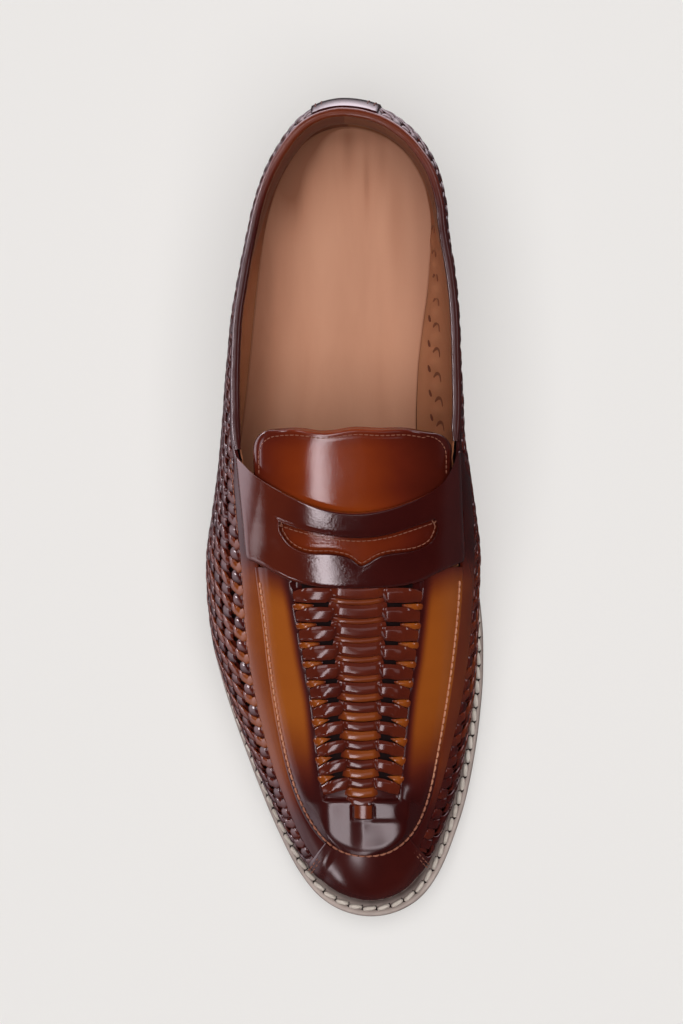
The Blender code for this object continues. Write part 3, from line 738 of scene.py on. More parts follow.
def from_ends(count):
    """Steps from the nearer end of a row of points."""
    return np.minimum(np.arange(count), np.arange(count)[::-1])


def toe_stations():
    """Sides and stations from one toe seam round the toe to the other."""
    sides, stations = [], []
    for side in (1, -1):
        _, seam, _ = locate(*TOE_SEAM[side])
        t = even_t(side, float(seam) - 0.0015, 1.0, TOE_STEP)
        sides.append(np.full(len(t), float(side)))
        stations.append(t)
    side = np.concatenate([sides[0], sides[1][-2::-1]])
    return side, np.concatenate([stations[0], stations[1][-2::-1]])


def build_toe_piece(material):
    """Plain leather round the toe, from one toe seam to the other."""
    side, t = toe_stations()
    top = by_side(apron_edge_v, side, t) + 0.03
    v = top[:, None] * np.concatenate([[1.0], np.linspace(0.985, 0.0, 46)])[None, :]
    from_end = from_ends(len(t)) * TOE_STEP
    edge = 0.35 * (0.15 + 0.95 * np.sqrt(1 - (1 - np.clip(from_end / 1.1, 0, 1)) ** 2))
    from_seam = (top[:, None] - v) * TOE_V
    lift = (edge + 0.6 * smooth_step(9, 4, from_end))[:, None] + 0.08 * (8 - np.minimum(from_seam, 13))
    points, normals = surface(side[:, None], t[:, None], v, lift)
    return piece("toe_piece", [slab(points, normals, 1.0, 0.13)], material)


# ---------------------------------------------------------------- apron and its ladder
# The ladder's middle line, the half-widths of its opening and of its rungs, and its loops' slant.
LADDER = {
    "columns": ("y", "x", "half", "core", "slant"),
    "rows": (
        (176, -5.7, 24.0, 9.6, 0.5), (200, -6.2, 20.9, 7.8, 1.2), (220, -6.4, 17.6, 6.1, 2.3),
        (240, -6.4, 15.7, 4.9, 3.3), (257, -6.7, 14.2, 3.6, 3.9),
    ),
}
LADDER_FRONT = 255.0
ROW_PITCH, ROWS, FIRST_ROW = 7.0, 11, 179.6
APRON_LIFT = 1.15               # height of the apron's top over the last
LADDER_DEPTH = 1.6              # how far the ladder's bed is sunk in it
TAB_CENTRE, TAB_SIZE = (-7.2, 259.3), (6.4, 4.8)
APRON_BACK = 169.5              # hidden under the strap


def ladder_share(x, y, beyond=0.0):
    """How far the plan point is inside the ladder's opening: 0 outside, 1 well inside."""
    half = read(LADDER, "half", y) - 0.9 + beyond
    across = half - np.abs(x - read(LADDER, "x", y))
    inside = smooth_step(-0.9, 0.7, across)
    return inside * smooth_step(LADDER_FRONT + beyond + 0.7, LADDER_FRONT + beyond - 0.9, y)


def apron_tone(x, y):
    """Burnish of the apron: amber panels, dark toward the ladder, the strap and the toe."""
    half = read(LADDER, "half", y)
    past = np.abs(x - read(LADDER, "x", y)) - half
    amber = smooth_step(0.3, 4.2, past)
    amber *= smooth_step(262, 226, y + 0.25 * np.abs(x + 7))                # dark at the toe
    amber *= smooth_step(168, 187, y + 0.55 * np.clip(past - 2, 0, 9))      # and by the strap
    return 0.06 + 0.94 * amber * np.where(x > -7, 1.0, 0.93)


def apron_lift(distance, x, y):
    """Height of the apron over the last at a distance from its edge: a low lap with a stitched groove."""
    lap = 0.6 * np.sqrt(1 - (1 - np.clip(distance / 0.6, 0, 1)) ** 2)
    body = (APRON_LIFT - 0.6) * smooth_step(0.6, 5.0, distance)
    groove = 0.2 * np.exp(-((distance - EDGE_PAST_STITCHES) / 0.45) ** 2)
    return lap + body - groove + toe_flat(x, y) * smooth_step(0.3, 3.2, distance)


def build_apron(material):
    """The plug of the upper: lapped edge, amber panels, and a sunk bed for the ladder."""
    seam = resample(APRON_EDGE[APRON_EDGE[:, 1] > APRON_BACK], 420)
    side, t, _ = locate(*seam.T)
    ridge, _ = section_line(side, t)
    reach = np.linalg.norm(ridge - seam, axis=1)
    near = np.array([0.0, 0.0, 0.12, 0.35, 0.7, 1.15, 1.6, 2.2])    # close together over the lap
    shares = np.linspace(0, 1, 46)[1:]
    distance = np.concatenate([
        np.repeat(near[None, :], len(seam), axis=0),
        near[-1] + (reach[:, None] - near[-1]) * shares[None, :]], axis=1)
    plan = seam[:, None] + (ridge - seam)[:, None] * (distance / reach[:, None])[..., None]
    x, y = plan[..., 0], plan[..., 1]
    lift = apron_lift(distance, x, y)
    lift[:, 0] = -0.3       # the edge turns down to the toe piece and the panels
    lift -= LADDER_DEPTH * ladder_share(x, y) + apron_creases(x, y)
    strap_x, strap_y = column(STRAP_EDGES, "front_x"), column(STRAP_EDGES, "front_y")
    from_strap = y - np.interp(x, strap_x[::-1], strap_y[::-1])
    lift = np.minimum(lift, blend(0.05, 3.0, smooth_step(-7, -0.5, from_strap)))
    points, normals = on_top(x, y, lift)
    inside = ladder_share(x, y, 0.7)
    tone = apron_tone(x, y) * (1 - inside) + 0.06 * inside
    return piece("apron", [slab(points, normals, 1.1, tone)], material, ("upper",))


TOE_FLAT_X = -5.0               # middle of the flat patch in front of the ladder


def toe_flat(x, y):
    """How the apron is stretched flat in front of the ladder: its sides rise and its middle sinks."""
    off = np.abs(x - TOE_FLAT_X)
    outer = x > TOE_FLAT_X
    levels_at = np.where(outer, 150.0, 290.0)       # square of the distance where the rise levels off
    rise = off ** 2 * levels_at / (off ** 8 + levels_at ** 4) ** 0.25
    patch = smooth_step(np.where(outer, 18, 23), np.where(outer, 10, 16), off) * smooth_step(247, 259, y)
    upturn = np.clip(266 - y, 0, 10) ** 2 * smooth_step(245, 256, y)
    return 0.0112 * (rise - 40) * patch + 0.004 * upturn


def apron_creases(x, y):
    """Troughs round the ladder's tab: a hollow in front, a soft fold, slits beside it and a lip."""
    dent = np.exp(-((x + 6.0) / 2.6) ** 2 - ((y - 264.0) / 3.0) ** 2)
    fold = smooth_step(-2.0, -7.6, x) * smooth_step(-30, -16, x)
    fold = fold * smooth_step(261, 264, y) * smooth_step(279, 268, y)
    past_side = np.abs(x - TAB_CENTRE[0]) - TAB_SIZE[0] / 2
    past_front = y - TAB_CENTRE[1] - TAB_SIZE[1] / 2
    past_ends = np.abs(y - TAB_CENTRE[1]) - TAB_SIZE[1] / 2
    slits = np.exp(-((past_side - 0.5) / 0.45) ** 2) * smooth_step(0.8, -0.2, past_ends)
    lip = np.exp(-((past_front - 0.5) / 0.5) ** 2) * smooth_step(0.8, -0.4, past_side)
    return 0.1 * dent + 0.5 * fold + 0.7 * slits + 0.35 * lip


def build_ladder_bed(material):
    """Underside seen through the ladder, painted near black as shade."""
    y = np.linspace(175, LADDER_FRONT + 0.4, 110)[:, None]
    shares = np.linspace(-1, 1, 50)
    half = read(LADDER, "half", y) - 0.4
    x = read(LADDER, "x", y) + half * shares
    lift = APRON_LIFT - LADDER_DEPTH + 0.12 - 0.8 * np.abs(shares) ** 12
    lift = np.minimum(lift, blend(-0.2, 3.0, smooth_step(173, 184, y)))
    points, normals = on_top(x, y + 0 * x, lift)
    return piece("ladder_bed", [slab(points, normals, 0.3)], material)


BULGE_FACING = np.array([0.08, 0.41, 0.91])     # the way a laced strip's face turns at its bulge


def plan_ribbon(line, half_width, lifts, thickness, tone, bulge=0.0):
    """A strip whose middle follows plan points at heights above the last; bulge turns its face."""
    points, normals = on_top(line[:, 0], line[:, 1], lifts)
    share = np.broadcast_to(bulge, (len(line),))[:, None]
    return ribbon(points, unit(blend(normals, BULGE_FACING, share)), half_width, thickness, tone)


def ladder_at(y):
    """The ladder's middle, the half-widths of its opening and rungs, and its loops' slant at y."""
    return (float(read(LADDER, name, y)) for name in LADDER["columns"][1:])


def ladder_rung(y, amber, bulge_from=-0.1):
    """Strip across the ladder's middle, bowed towards the toe; it bulges outward of bulge_from."""
    centre, _, core, _ = ladder_at(y)
    late = float(smooth_step(200, 232, y))
    u = np.linspace(-1, 1, 25)
    half = core + 1.9
    line = np.stack([centre + u * half, y - blend(1.4, 0.9, late) * u ** 2], axis=-1)
    sink = smooth_step(0.62, 1.0, np.abs(u))
    bulge = smooth_step(bulge_from, bulge_from + 0.55, u) * 0.9
    if amber:
        # the amber rung is painted darker at its ends, as the shade where they sink under the loops
        tone = blend(0.5, 0.66, late) - 0.3 * sink
        return plan_ribbon(line, blend(1.1, 1.85, late), 0.55 - 0.6 * sink, 0.8, tone)
    width, tone = blend(2.65, 1.75, late), blend(0.32, 0.26, late)
    return plan_ribbon(line, width, 1.2 - 1.0 * sink, 0.9, tone, bulge)


def ladder_loop(y, side):
    """Short strip that comes out of the apron's edge and dives in beside the ladder's middle."""
    centre, half, core, slant = ladder_at(y)
    late = float(smooth_step(200, 240, y))
    u = np.linspace(0, 1, 25)
    x = centre + side * blend(half + 0.9, core + 0.1, u)
    line = np.stack([x, y + slant * (0.55 - u) - 0.5 * np.sin(math.pi * u)], axis=-1)
    fall = 0.48 if side > 0 else 0.8
    lifts = 0.8 + 1.15 * smooth_step(0, 0.42, u) - fall * np.clip((u - 0.42) / 0.58, 0, 1) ** 2
    lifts = lifts - 0.7 * smooth_step(0.92, 1.0, u)
    taper = 1 - 0.28 * smooth_step(0.45, 0.0, u) - 0.06 * smooth_step(0.8, 1, u)
    width = blend(3.0, 2.5, late) * taper
    bulge = smooth_step(blend(0.55, 0.3, late), blend(0.75, 0.5, late), u)
    return plan_ribbon(line, width, lifts, 1.0, blend(0.34, 0.24, u), bulge)


def ladder_wedge(y, side):
    """Tapered tongue of the apron between two loops."""
    centre, half, _, slant = ladder_at(y)
    late = float(smooth_step(196, 236, y))
    u = np.linspace(0, 1, 13)
    x = centre + side * blend(half + 1.0, half - blend(7.0, 5.4, late), u)
    line = np.stack([x, y + slant * (0.35 - 0.55 * u)], axis=-1)
    width = blend(1.4, 2.0, late) * (1 - blend(0.5, 0.92, late) * u ** 1.2)
    hump = np.sin(math.pi * u) ** 0.7
    # painted highlight: the wedge is lighter along its hump and darker at its ends
    return plan_ribbon(line, width, 0.85 + 0.65 * hump - 0.7 * u ** 2, 0.7, blend(0.25, 0.85, hump))


def build_ladder(material):
    """Laced ladder down the apron: rungs, side loops, wedges between them and an end tab."""
    parts = [ladder_rung(FIRST_ROW - 0.7, False, -0.9)]
    for row in range(ROWS):
        y = FIRST_ROW + row * ROW_PITCH
        parts.append(ladder_rung(y + 2.8, True))
        parts.append(ladder_rung(y + 6.3, False))
        for side in (1, -1):
            parts.append(ladder_loop(y + 0.7, side))
            if row:
                parts.append(ladder_wedge(y - 2.8, side))
    x, y = TAB_CENTRE
    line = np.stack([np.full(9, x), y + np.linspace(-0.5, 0.5, 9) * TAB_SIZE[1]], axis=-1)
    parts.append(plan_ribbon(line, TAB_SIZE[0] / 2, np.linspace(1.55, 1.2, 9), 0.8, 0.44, 0.85))
    return piece("apron_ladder", parts, material, sharp=75, merge=False)


# ---------------------------------------------------------------- strap, tongue, collar, back strip
# Edges of the saddle strap in plan, from its outer end to its inner end.
STRAP_EDGES = {
    "columns": ("back_x", "back_y", "front_x", "front_y"),
    "rows": (
        (37.8, 129.0, 34.6, 166.6), (31.0, 135.8, 28.8, 169.0), (21.5, 141.8, 20.8, 173.2),
        (9.0, 147.4, 9.0, 176.5), (-4.0, 149.7, -4.7, 177.2), (-16.0, 148.5, -17.0, 176.8),
        (-27.0, 144.9, -27.5, 175.0), (-37.0, 139.0, -37.0, 170.6), (-43.2, 126.5, -44.6, 167.3),
    ),
}
# The strap's cut-out: its back edge, and its front edge with the small point.
SLOT_BACK = {
    "columns": ("x", "y"),
    "rows": (
        (22.0, 153.2), (15.8, 155.3), (4.0, 158.0), (-6.8, 159.0), (-17.7, 157.6), (-28.1, 154.3),
        (-34.0, 152.2),
    ),
}
SLOT_FRONT = {
    "columns": ("x", "y"),
    "rows": (
        (-35.2, 154.6), (-32.9, 159.9), (-28.9, 162.6), (-22.8, 163.9), (-16.7, 164.7),
        (-13.0, 166.0), (-9.9, 167.9), (-7.2, 168.8), (-4.4, 166.9), (-1.3, 165.4), (4.2, 164.5),
        (10.9, 164.3), (15.2, 163.1), (18.9, 160.5), (21.6, 156.4),
    ),
}
STRAP_LIFT, STRAP_TOP = 0.55, 2.75      # heights of its underside and its top over the last
SIDE_STEPS, END_STEPS = 150, 44         # points along the strap's long edges and its ends
TONGUE_BACK, TONGUE_FRONT, TONGUE_CORNER = 120.5, 171.5, 7.0
TONGUE_HALF, TONGUE_MIDDLE = 35.5, -4.5
BINDING_ENDS = {1: LENGTH * 0.424, -1: LENGTH * 0.414}      # just behind the strap's corners


def rounded(distance, radius, depth):
    """How far a rolled edge drops at a distance in from it."""
    inward = 1 - np.clip(distance / radius, 0, 1)
    return depth * (1 - np.sqrt(1 - inward ** 2))


def closed_loop(back, front):
    """Loop of plan points along a back edge, across, along a front edge and across again."""
    lines = back, np.array([back[-1], front[0]]), front, np.array([front[-1], back[0]])
    counts = (SIDE_STEPS, END_STEPS) * 2
    return np.concatenate([resample(line, count + 1)[:-1] for line, count in zip(lines, counts)])


def strap_outlines():
    """The strap's outline and its cut-out's, with points that match one to one."""
    back = plan_line(STRAP_EDGES, "back_x", "back_y")
    front = plan_line(STRAP_EDGES, "front_x", "front_y")[::-1]
    outer = closed_loop(back, front)
    inner = closed_loop(plan_line(SLOT_BACK, "x", "y"), plan_line(SLOT_FRONT, "x", "y", 0.25))
    return soften(outer, 3), soften(inner, 1)


def soften(loop, times):
    """A closed loop with its corners rounded a little."""
    for _ in range(times):
        loop = (np.roll(loop, 1, axis=0) + 2 * loop + np.roll(loop, -1, axis=0)) / 4
    return loop


def build_strap(material):
    """Saddle strap with its cut-out, rolled edges and raw edge faces."""
    outer, inner = strap_outlines()
    span = np.linalg.norm(inner - outer, axis=1)
    near = np.array([0.0, 0.12, 0.35, 0.7, 1.2, 2.0, 3.2])
    shares = np.linspace(0, 1, 16)[1:-1]
    from_edge = np.concatenate([
        np.repeat(near[:, None], len(span), axis=1),
        near[-1] + (span - 2 * near[-1]) * shares[:, None],
        span - near[::-1, None]])
    plan = outer + (inner - outer) * (from_edge / span)[..., None]
    x, y = plan[..., 0], plan[..., 1]
    from_slot = np.clip(span - from_edge, 0, None)
    lift = STRAP_TOP - rounded(from_edge, 1.1, 1.3) - rounded(from_slot, 0.7, 0.7)
    lift -= 0.12 * np.exp(-((from_slot - 1.0) / 0.35) ** 2)
    top, _ = on_top(x, y, lift)
    under, _ = on_top(x[::-1], y[::-1], STRAP_LIFT)
    # The back edge shows a lighter raw face, and the strap is lighter towards its outer end than its
    # inner.
    raw = smooth_step(0.8, 0.1, from_edge) * (y < 152) * smooth_step(34, 24, np.abs(x + 4))
    tone = blend(0.08, 0.3, smooth_step(-8, 26, x)) + 0.5 * raw
    points = np.concatenate([top, under])
    tones = np.concatenate([tone, np.full(tone.shape, 0.3)])
    part = sheet(points, tones, wrap_rows=True, wrap_columns=True)
    return piece("strap", [part], material, ("saddle_strap",), sharp=60)


def tongue_wave(x):
    """How far the tongue's back edge wavers."""
    return 0.5 * np.sin(x / 6.3 + 0.6) + 0.35 * np.sin(x / 3.1)


def tongue_half(y):
    """Half-width of the tongue's flap, with its rounded back corners."""
    into = np.clip(y - TONGUE_BACK, 0, TONGUE_CORNER)
    corner = TONGUE_CORNER - np.sqrt(TONGUE_CORNER ** 2 - (TONGUE_CORNER - into) ** 2)
    return TONGUE_HALF - corner


def build_tongue(material):
    """Flap of the apron behind the strap, its back edge a little wavy and rolled."""
    near = np.array([0, 0.05, 0.15, 0.4, 0.8, 1.4, 2.2])
    y = TONGUE_BACK + np.concatenate([near, np.linspace(3, TONGUE_FRONT - TONGUE_BACK, 76)])
    shares = np.sin(np.linspace(-0.5, 0.5, 90) * math.pi)
    shares = 0.55 * shares + 0.45 * np.linspace(-1, 1, 90)
    half = np.minimum(tongue_half(y), blend(36.0, 30.5, smooth_step(134, 172, y)))
    x = TONGUE_MIDDLE + half[:, None] * shares
    from_side = half[:, None] * (1 - np.abs(shares))
    from_back = np.broadcast_to((y - TONGUE_BACK)[:, None], x.shape)
    plan_y = y[:, None] + tongue_wave(x) * smooth_step(12, 0, from_back)
    from_edge = np.minimum(from_back, from_side)
    lift = -rounded(from_edge, 0.8, 0.8) - 0.14 * np.exp(-((from_edge - 2.1) / 0.45) ** 2)
    points, normals = on_top(x, plan_y, lift)
    # Amber in the middle, a worn edge, a dark back, and shade close to the strap.
    off_middle = np.abs(x - TONGUE_MIDDLE - 4) / TONGUE_HALF
    tone = blend(0.62, 0.14, smooth_step(0.15, 0.95, off_middle)) + 0.16 * smooth_step(5, 20, x)
    tone = tone + 0.3 * smooth_step(1.0, 0.2, from_edge) * smooth_step(30, 10, np.abs(x - TONGUE_MIDDLE))
    tone = tone * blend(0.7, 1.0, smooth_step(122, 128, plan_y))
    tone = tone + 0.12 * smooth_step(140, 150, plan_y) - 0.2 * smooth_step(151, 156, plan_y)
    tone = tone + 0.18 * smooth_step(151, 156, plan_y) * smooth_step(-8, -24, x)
    part = slab(points, normals, 1.9, tone)
    return piece("tongue_flap", [part], material, ("tongue",))


COLLAR_STEP = 1.2               # between the piping's rings


def collar_line(up, inward):
    """Points along the collar's edge from the outer corner round the heel to the inner one."""
    lines = []
    for side in (1, -1):
        t = even_t(side, 0.0, float(station_at(BINDING_ENDS[side])), COLLAR_STEP, 1.0)
        edge = last_point(side, t, collar_v(side, t))
        edge[:, :2] -= section(side, t)["outward"] * inward
        edge[:, 2] += up
        lines.append(edge[::-1] if side > 0 else edge[1:])
    return np.concatenate(lines)


def build_binding(material):
    """Rolled piping on the collar's edge."""
    line = collar_line(BINDING_RADIUS + GAP - 0.1, WALL / 2)
    step = np.arange(len(line))
    radius = BINDING_RADIUS * blend(0.6, 1.0, smooth_step(0, 6, from_ends(len(line)) * COLLAR_STEP))
    bumps = 1 + 0.02 * np.sin(step * 0.9) + 0.015 * np.sin(step * 0.37)
    tone = blend(0.42, 0.08, smooth_step(8, 45, line[:, 1] - LAST_BACK))
    part = tube(line, radius * bumps, 16, tone)
    return piece("collar_piping", [part], material, ("collar_binding",), sharp=60)


LINING_DEPTH, LINING_THICKNESS = WALL - 0.5, 0.5


def build_lining(material):
    """Leather lining from the collar down to the sock, padded round the heel."""
    side, t = both_sides(1.0)
    behind = station_y(t) < 176
    side, t = side[behind], t[behind]
    edge = collar_v(side, np.minimum(t, station_at(COLLAR_CORNER)))
    edge = blend(edge, 1.9, smooth_step(COLLAR_CORNER, COLLAR_CORNER + 25, station_y(t)))
    shares = np.linspace(0, 1, 64) ** 1.1
    v = edge[:, None] - (edge[:, None] - 0.03) * shares
    points, normals = surface(side[:, None], t[:, None], v, 0.0)
    below = edge_run(points)
    puckers = lining_puckers(side[:, None], points[..., 1], v)
    at_heel = 1 - np.clip((station_y(t)[:, None] - LAST_BACK) / 60, 0, 1)
    pad = np.sin(np.clip(below / 17, 0, 1) * math.pi) ** 0.7
    depth = LINING_DEPTH + (HEEL_PAD - 0.6) * at_heel ** 0.8 * pad
    seam = at_heel * np.exp(-((below - 17.5) / 0.8) ** 2)
    depth = depth - 0.5 * seam + puckers
    inner = points - normals * depth[..., None]
    tone = 0.55 + 0.25 * smooth_step(10, 40, below) - 0.45 * np.clip(2 * at_heel, 0, 1)
    # painted shade darkens the outer side's lining; the puckers are painted lighter on their bulges and
    # darker in their dimples, as light and shade
    tone = tone - 0.25 * (side[:, None] > 0) + 0.3 * puckers
    return piece("lining", [slab(inner, normals, LINING_THICKNESS, tone)], material)


SLIT_PLACES = np.arange(45.6, 128.0, 8.9)               # distances from the heel
SLIT_V = 46                                             # millimetres to a step of 1 in v there
# One slit, as distances toward the toe and up the wall from its place.
SLIT = {
    "columns": ("toward_toe", "up"),
    "rows": ((0.8, -3.2), (-0.3, -1.6), (-0.6, 0.0), (0.1, 1.5), (1.2, 2.6), (2.8, 3.4)),
}


def slit_v(y):
    """Height v of the row of slits, which climbs towards the toe."""
    return 0.31 + 0.0026 * (y - 80)


def lining_puckers(side, y, v):
    """How the lining bulges inward and dimples round the slits on the inner side."""
    up = (v - slit_v(y)) * SLIT_V
    bulge = 0
    for place in SLIT_PLACES:
        ahead = y - place
        dimple = np.exp(-(ahead / 1.3) ** 2 - ((up - 0.6 * ahead) / 2.6) ** 2)
        swell = np.exp(-((ahead - 4.0) / 2.2) ** 2 - ((up + 1.5) / 5.0) ** 2)
        bulge = bulge + 0.7 * swell - 0.3 * dimple
    return bulge * (side < 0)


def lining_point(y, up):
    """Points on the inner side's lining at heights above the row of slits, and their normals."""
    v = slit_v(y) + up / SLIT_V
    points, normals = surface(-1.0, station_at(y), v, -LINING_DEPTH - LINING_THICKNESS)
    return points - normals * (lining_puckers(-1.0, y, v) + 0.1)[:, None], -normals


def build_lining_slits(material):
    """Curved slits and small holes in the lining on the inner side, where the weave shows through, drawn
    as darker marks: painted shade.
    """
    parts = []
    curve = plan_line(SLIT, "toward_toe", "up", 0.4)
    for place in SLIT_PLACES:
        points, normals = lining_point(place + curve[:, 0], curve[:, 1])
        taper = np.sin(np.linspace(0.12, 0.94, len(curve)) * math.pi) ** 0.7
        parts.append(ribbon(points, normals, 0.85 * taper, 0.25, 0.16))
    low = SLIT_PLACES[SLIT_PLACES > 76] - 2.4
    for point, normal in zip(*lining_point(low, np.full(len(low), -6.5))):
        parts.append(disc(point, normal, 1.4, 0.75, (0.5, 0.8, 0.6)))
    return piece("lining_slits", parts, material)


def disc(centre, normal, half_length, half_width, along):
    """Thin oval plate at a point; along is roughly the way that its length lies."""
    normal = unit(normal)
    first = unit(along - normal * np.dot(along, normal))
    second = np.cross(normal, first)
    line = centre + np.linspace(-0.14, 0.14, 3)[:, None] * normal
    angles = np.arange(10)[:, None] * math.pi / 5
    oval = first * half_length * np.cos(angles) + second * half_width * np.sin(angles)
    return capped(line[:, None] + oval, 0.0)


def strip_station(reach):
    """Stations at distances along the welt line from the heel's centre."""
    fine = np.linspace(0, 0.2, 800)
    return np.interp(np.abs(reach), run_along(feather_point(1, fine)), fine)


def build_back_strip(material):
    """Strip down the heel, over the ends of the weave."""
    reach = np.linspace(-BACK_STRIP_HALF, BACK_STRIP_HALF, 31)
    t = strip_station(reach)
    side = np.where(reach < 0, -1.0, 1.0)
    top = collar_v(side, t) + 0.01
    v = 0.06 + (top[:, None] - 0.06) * np.linspace(0, 1, 70)
    from_edge = (BACK_STRIP_HALF - np.abs(reach))[:, None]
    lift = 1.75 - rounded(from_edge, 0.9, 0.9) - 0.12 * np.exp(-((from_edge - 2.0) / 0.4) ** 2)
    points, normals = surface(side[:, None], t[:, None], v, lift)
    part = slab(points, normals, 1.2, 0.06)
    return piece("back_strip_leather", [part], material, ("back_strip",))


# ---------------------------------------------------------------- sole, welt, heel and sock
def level(stations, share, inset, height):
    """One outline of a plate, outer side then inner, at a share of the welt's margin less an inset."""
    sides = []
    for side in (1, -1):
        margin = read_side(WELT_MARGIN, "x", side, station_y(stations))
        plan = edge_point(side, stations, margin * share - inset)
        sides.append(np.column_stack([plan, height(plan[:, 1])]))
    return sides


def plate(levels, across=21):
    """Closed plate from outlines, the first and last of them covered."""
    shares = np.linspace(0, 1, across)[:, None]
    walls, covers = [], []
    for outer, inner in levels:
        breast = outer[-1] * (1 - shares) + inner[-1] * shares
        walls.append(np.concatenate([outer[:-1], breast, inner[-2:0:-1]]))
        covers.append(outer[:, None] * (1 - shares) + inner[:, None] * shares)
    return [sheet(np.array(walls), wrap_columns=True), sheet(covers[0]), sheet(covers[-1])]


def above_sole(rise):
    """Height function: a rise above the sole's underside."""
    return lambda y: sole_bottom(y) + rise


def above_floor(rise):
    """Height function: a rise above the floor."""
    return lambda y: np.full(y.shape, rise)


# Edge of the sole plate, with a fine line round it.
SOLE_EDGE = {
    "columns": ("inset", "rise"),
    "rows": (
        (1.6, 0.0), (0.8, 0.05), (0.25, 0.35), (0.0, 1.0), (-0.05, 2.6), (0.3, 2.9), (0.0, 3.2),
        (0.05, SOLE_THICKNESS),
    ),
}
# Edge of the rubber lift, tucked in from the welt's edge.
LIFT_EDGE = {
    "columns": ("inset", "rise"),
    "rows": ((2.8, 0.0), (2.3, 0.35), (2.1, 0.9), (2.0, 5.6), (2.2, 6.0)),
}
# Section of the welt, round from its inner foot, with a shallow channel for its stitches. Its tone is
# painted shade down the outer edge, in the channel and at the foot by the upper, and painted light on the
# top.
WELT = {
    "columns": ("share", "inset", "rise", "tone"),
    "rows": (
        (0, WALL, WELT_LOW, 0.1), (1, 0.5, WELT_LOW, 0.05), (1, 0.1, WELT_LOW + 0.5, 0.1),
        (1, 0, WELT_LOW + 1.6, 0.2), (1, 0.15, WELT_HIGH - 0.6, 0.4),
        (1, 0.5, WELT_HIGH - 0.15, 0.62), (1, 1.0, WELT_HIGH, 0.72), (0.72, 0, WELT_HIGH, 0.4),
        (0.6, 0, WELT_HIGH - 0.15, 0.0), (0.48, 0, WELT_HIGH, 0.35), (0.3, 0, WELT_HIGH - 0.1, 0.1),
        (0, WALL, WELT_HIGH - 0.1, 0.0),
    ),
}
HEEL_BLOCK_BASE = 6.3           # height of its lower face, over the rubber lift
LAYERS = 5                      # of leather in the heel block
# One layer of the heel block: its edge is nipped in where it meets the next.
LAYER = {
    "columns": ("share_of_height", "inset"),
    "rows": ((0.03, 0.16), (0.1, 0.0), (0.9, 0.0), (0.97, 0.16)),
}


def build_outsole(material):
    """Sole plate with a softened lower edge and a fine line round its side."""
    t = even_t(1, 0.0, 1.0, 1.6, 0.0)
    levels = [level(t, 1, inset, above_sole(rise)) for inset, rise in SOLE_EDGE["rows"]]
    return piece("outsole_plate", plate(levels), material, ("outsole",))


def welt_ring(share, inset, rise, spacing=1.2):
    """Closed ring of points round the welt, a rise above the sole's underside."""
    outer, inner = level(even_t(1, 0.0, 1.0, spacing, 0.0), share, inset, above_sole(rise))
    return np.concatenate([outer, inner[-2:0:-1]])


def build_welt(material):
    """Welt with a rounded outer edge and a shallow channel for its stitches."""
    rings = np.array([welt_ring(*row[:3]) for row in WELT["rows"]])
    part = sheet(rings, column(WELT, "tone")[:, None], wrap_rows=True, wrap_columns=True)
    return piece("welt_ring", [part], material, ("welt",))


def in_heel(share):
    """Height function: a share of the way up the heel block."""
    return lambda y: blend(HEEL_BLOCK_BASE, sole_bottom(y) - GAP, share)


def build_heel(stacked, rubber):
    """Heel block of stacked leather layers, and the rubber lift under it."""
    t = even_t(1, 0.0, float(station_at(HEEL_BREAST)), 1.4, 0.0)
    stack = []
    for layer in range(LAYERS):
        for share, inset in LAYER["rows"]:
            at = (layer + share) / LAYERS
            stack.append(level(t, 1, blend(2.0, 0.4, at) + inset, in_heel(at)))
    piece("heel_block", plate(stack), stacked, ("heel_stack",))
    lift = [level(t, 1, inset, above_floor(rise)) for inset, rise in LIFT_EDGE["rows"]]
    piece("heel_lift", plate(lift), rubber, ("heel_top_lift",))


def build_sock(material):
    """Leather sock on the insole, soft and a little dished."""
    t = even_t(1, 0.0, 1.0, 1.6, 0.0)
    top = above_sole(FEATHER_RISE + INSOLE_RISE + 0.3)
    levels = level(t, 0, WALL + GAP, above_sole(WELT_LOW)), level(t, 0, 0.9, top), level(t, 0, 1.6, top)
    columns = np.linspace(-1, 1, 61)
    parts = plate(levels, across=61)
    wall, wall_faces, _ = parts[0]
    ring = np.concatenate([-np.ones(len(t) - 1), columns, np.ones(len(t) - 2)])
    tones = sock_tone(np.tile(ring, 3), wall[:, 0], wall[:, 1])
    # painted shade: the sock's rim is darker where it meets the lining
    tones[:2 * len(ring)] -= 0.45
    parts[0] = wall, wall_faces, tones
    cover, cover_faces, _ = parts[-1]
    across = np.tile(columns, len(t))
    middle = 1 - np.abs(across) ** 2.5
    cover[:, 2] -= 1.1 * middle * smooth_step(8, 30, cover[:, 1])
    parts[-1] = cover, cover_faces, sock_tone(across, cover[:, 0], cover[:, 1])
    return piece("sock", parts, material, ("insole",))


# Streaks on the sock, dark where their depth is above 0.
SOCK_STREAKS = {
    "columns": ("x", "y", "half_width", "half_length", "depth"),
    "rows": (
        (18.0, 27.0, 5.0, 17.0, 0.5), (11.0, 15.0, 4.0, 9.0, 0.3), (-1.5, 16.0, 2.4, 10.0, 0.28),
        (-8.2, 28.0, 1.2, 11.0, 0.3), (-14.0, 20.0, 2.6, 12.0, 0.22), (0.0, 11.0, 18.0, 4.0, 0.25),
        (-19.0, 44.0, 3.4, 22.0, 0.16), (-16.0, 92.0, 5.0, 20.0, 0.1), (9.0, 72.0, 4.0, 26.0, -0.05),
        (14.0, 100.0, 7.0, 15.0, 0.08), (20.0, 66.0, 3.5, 20.0, 0.1),
    ),
}


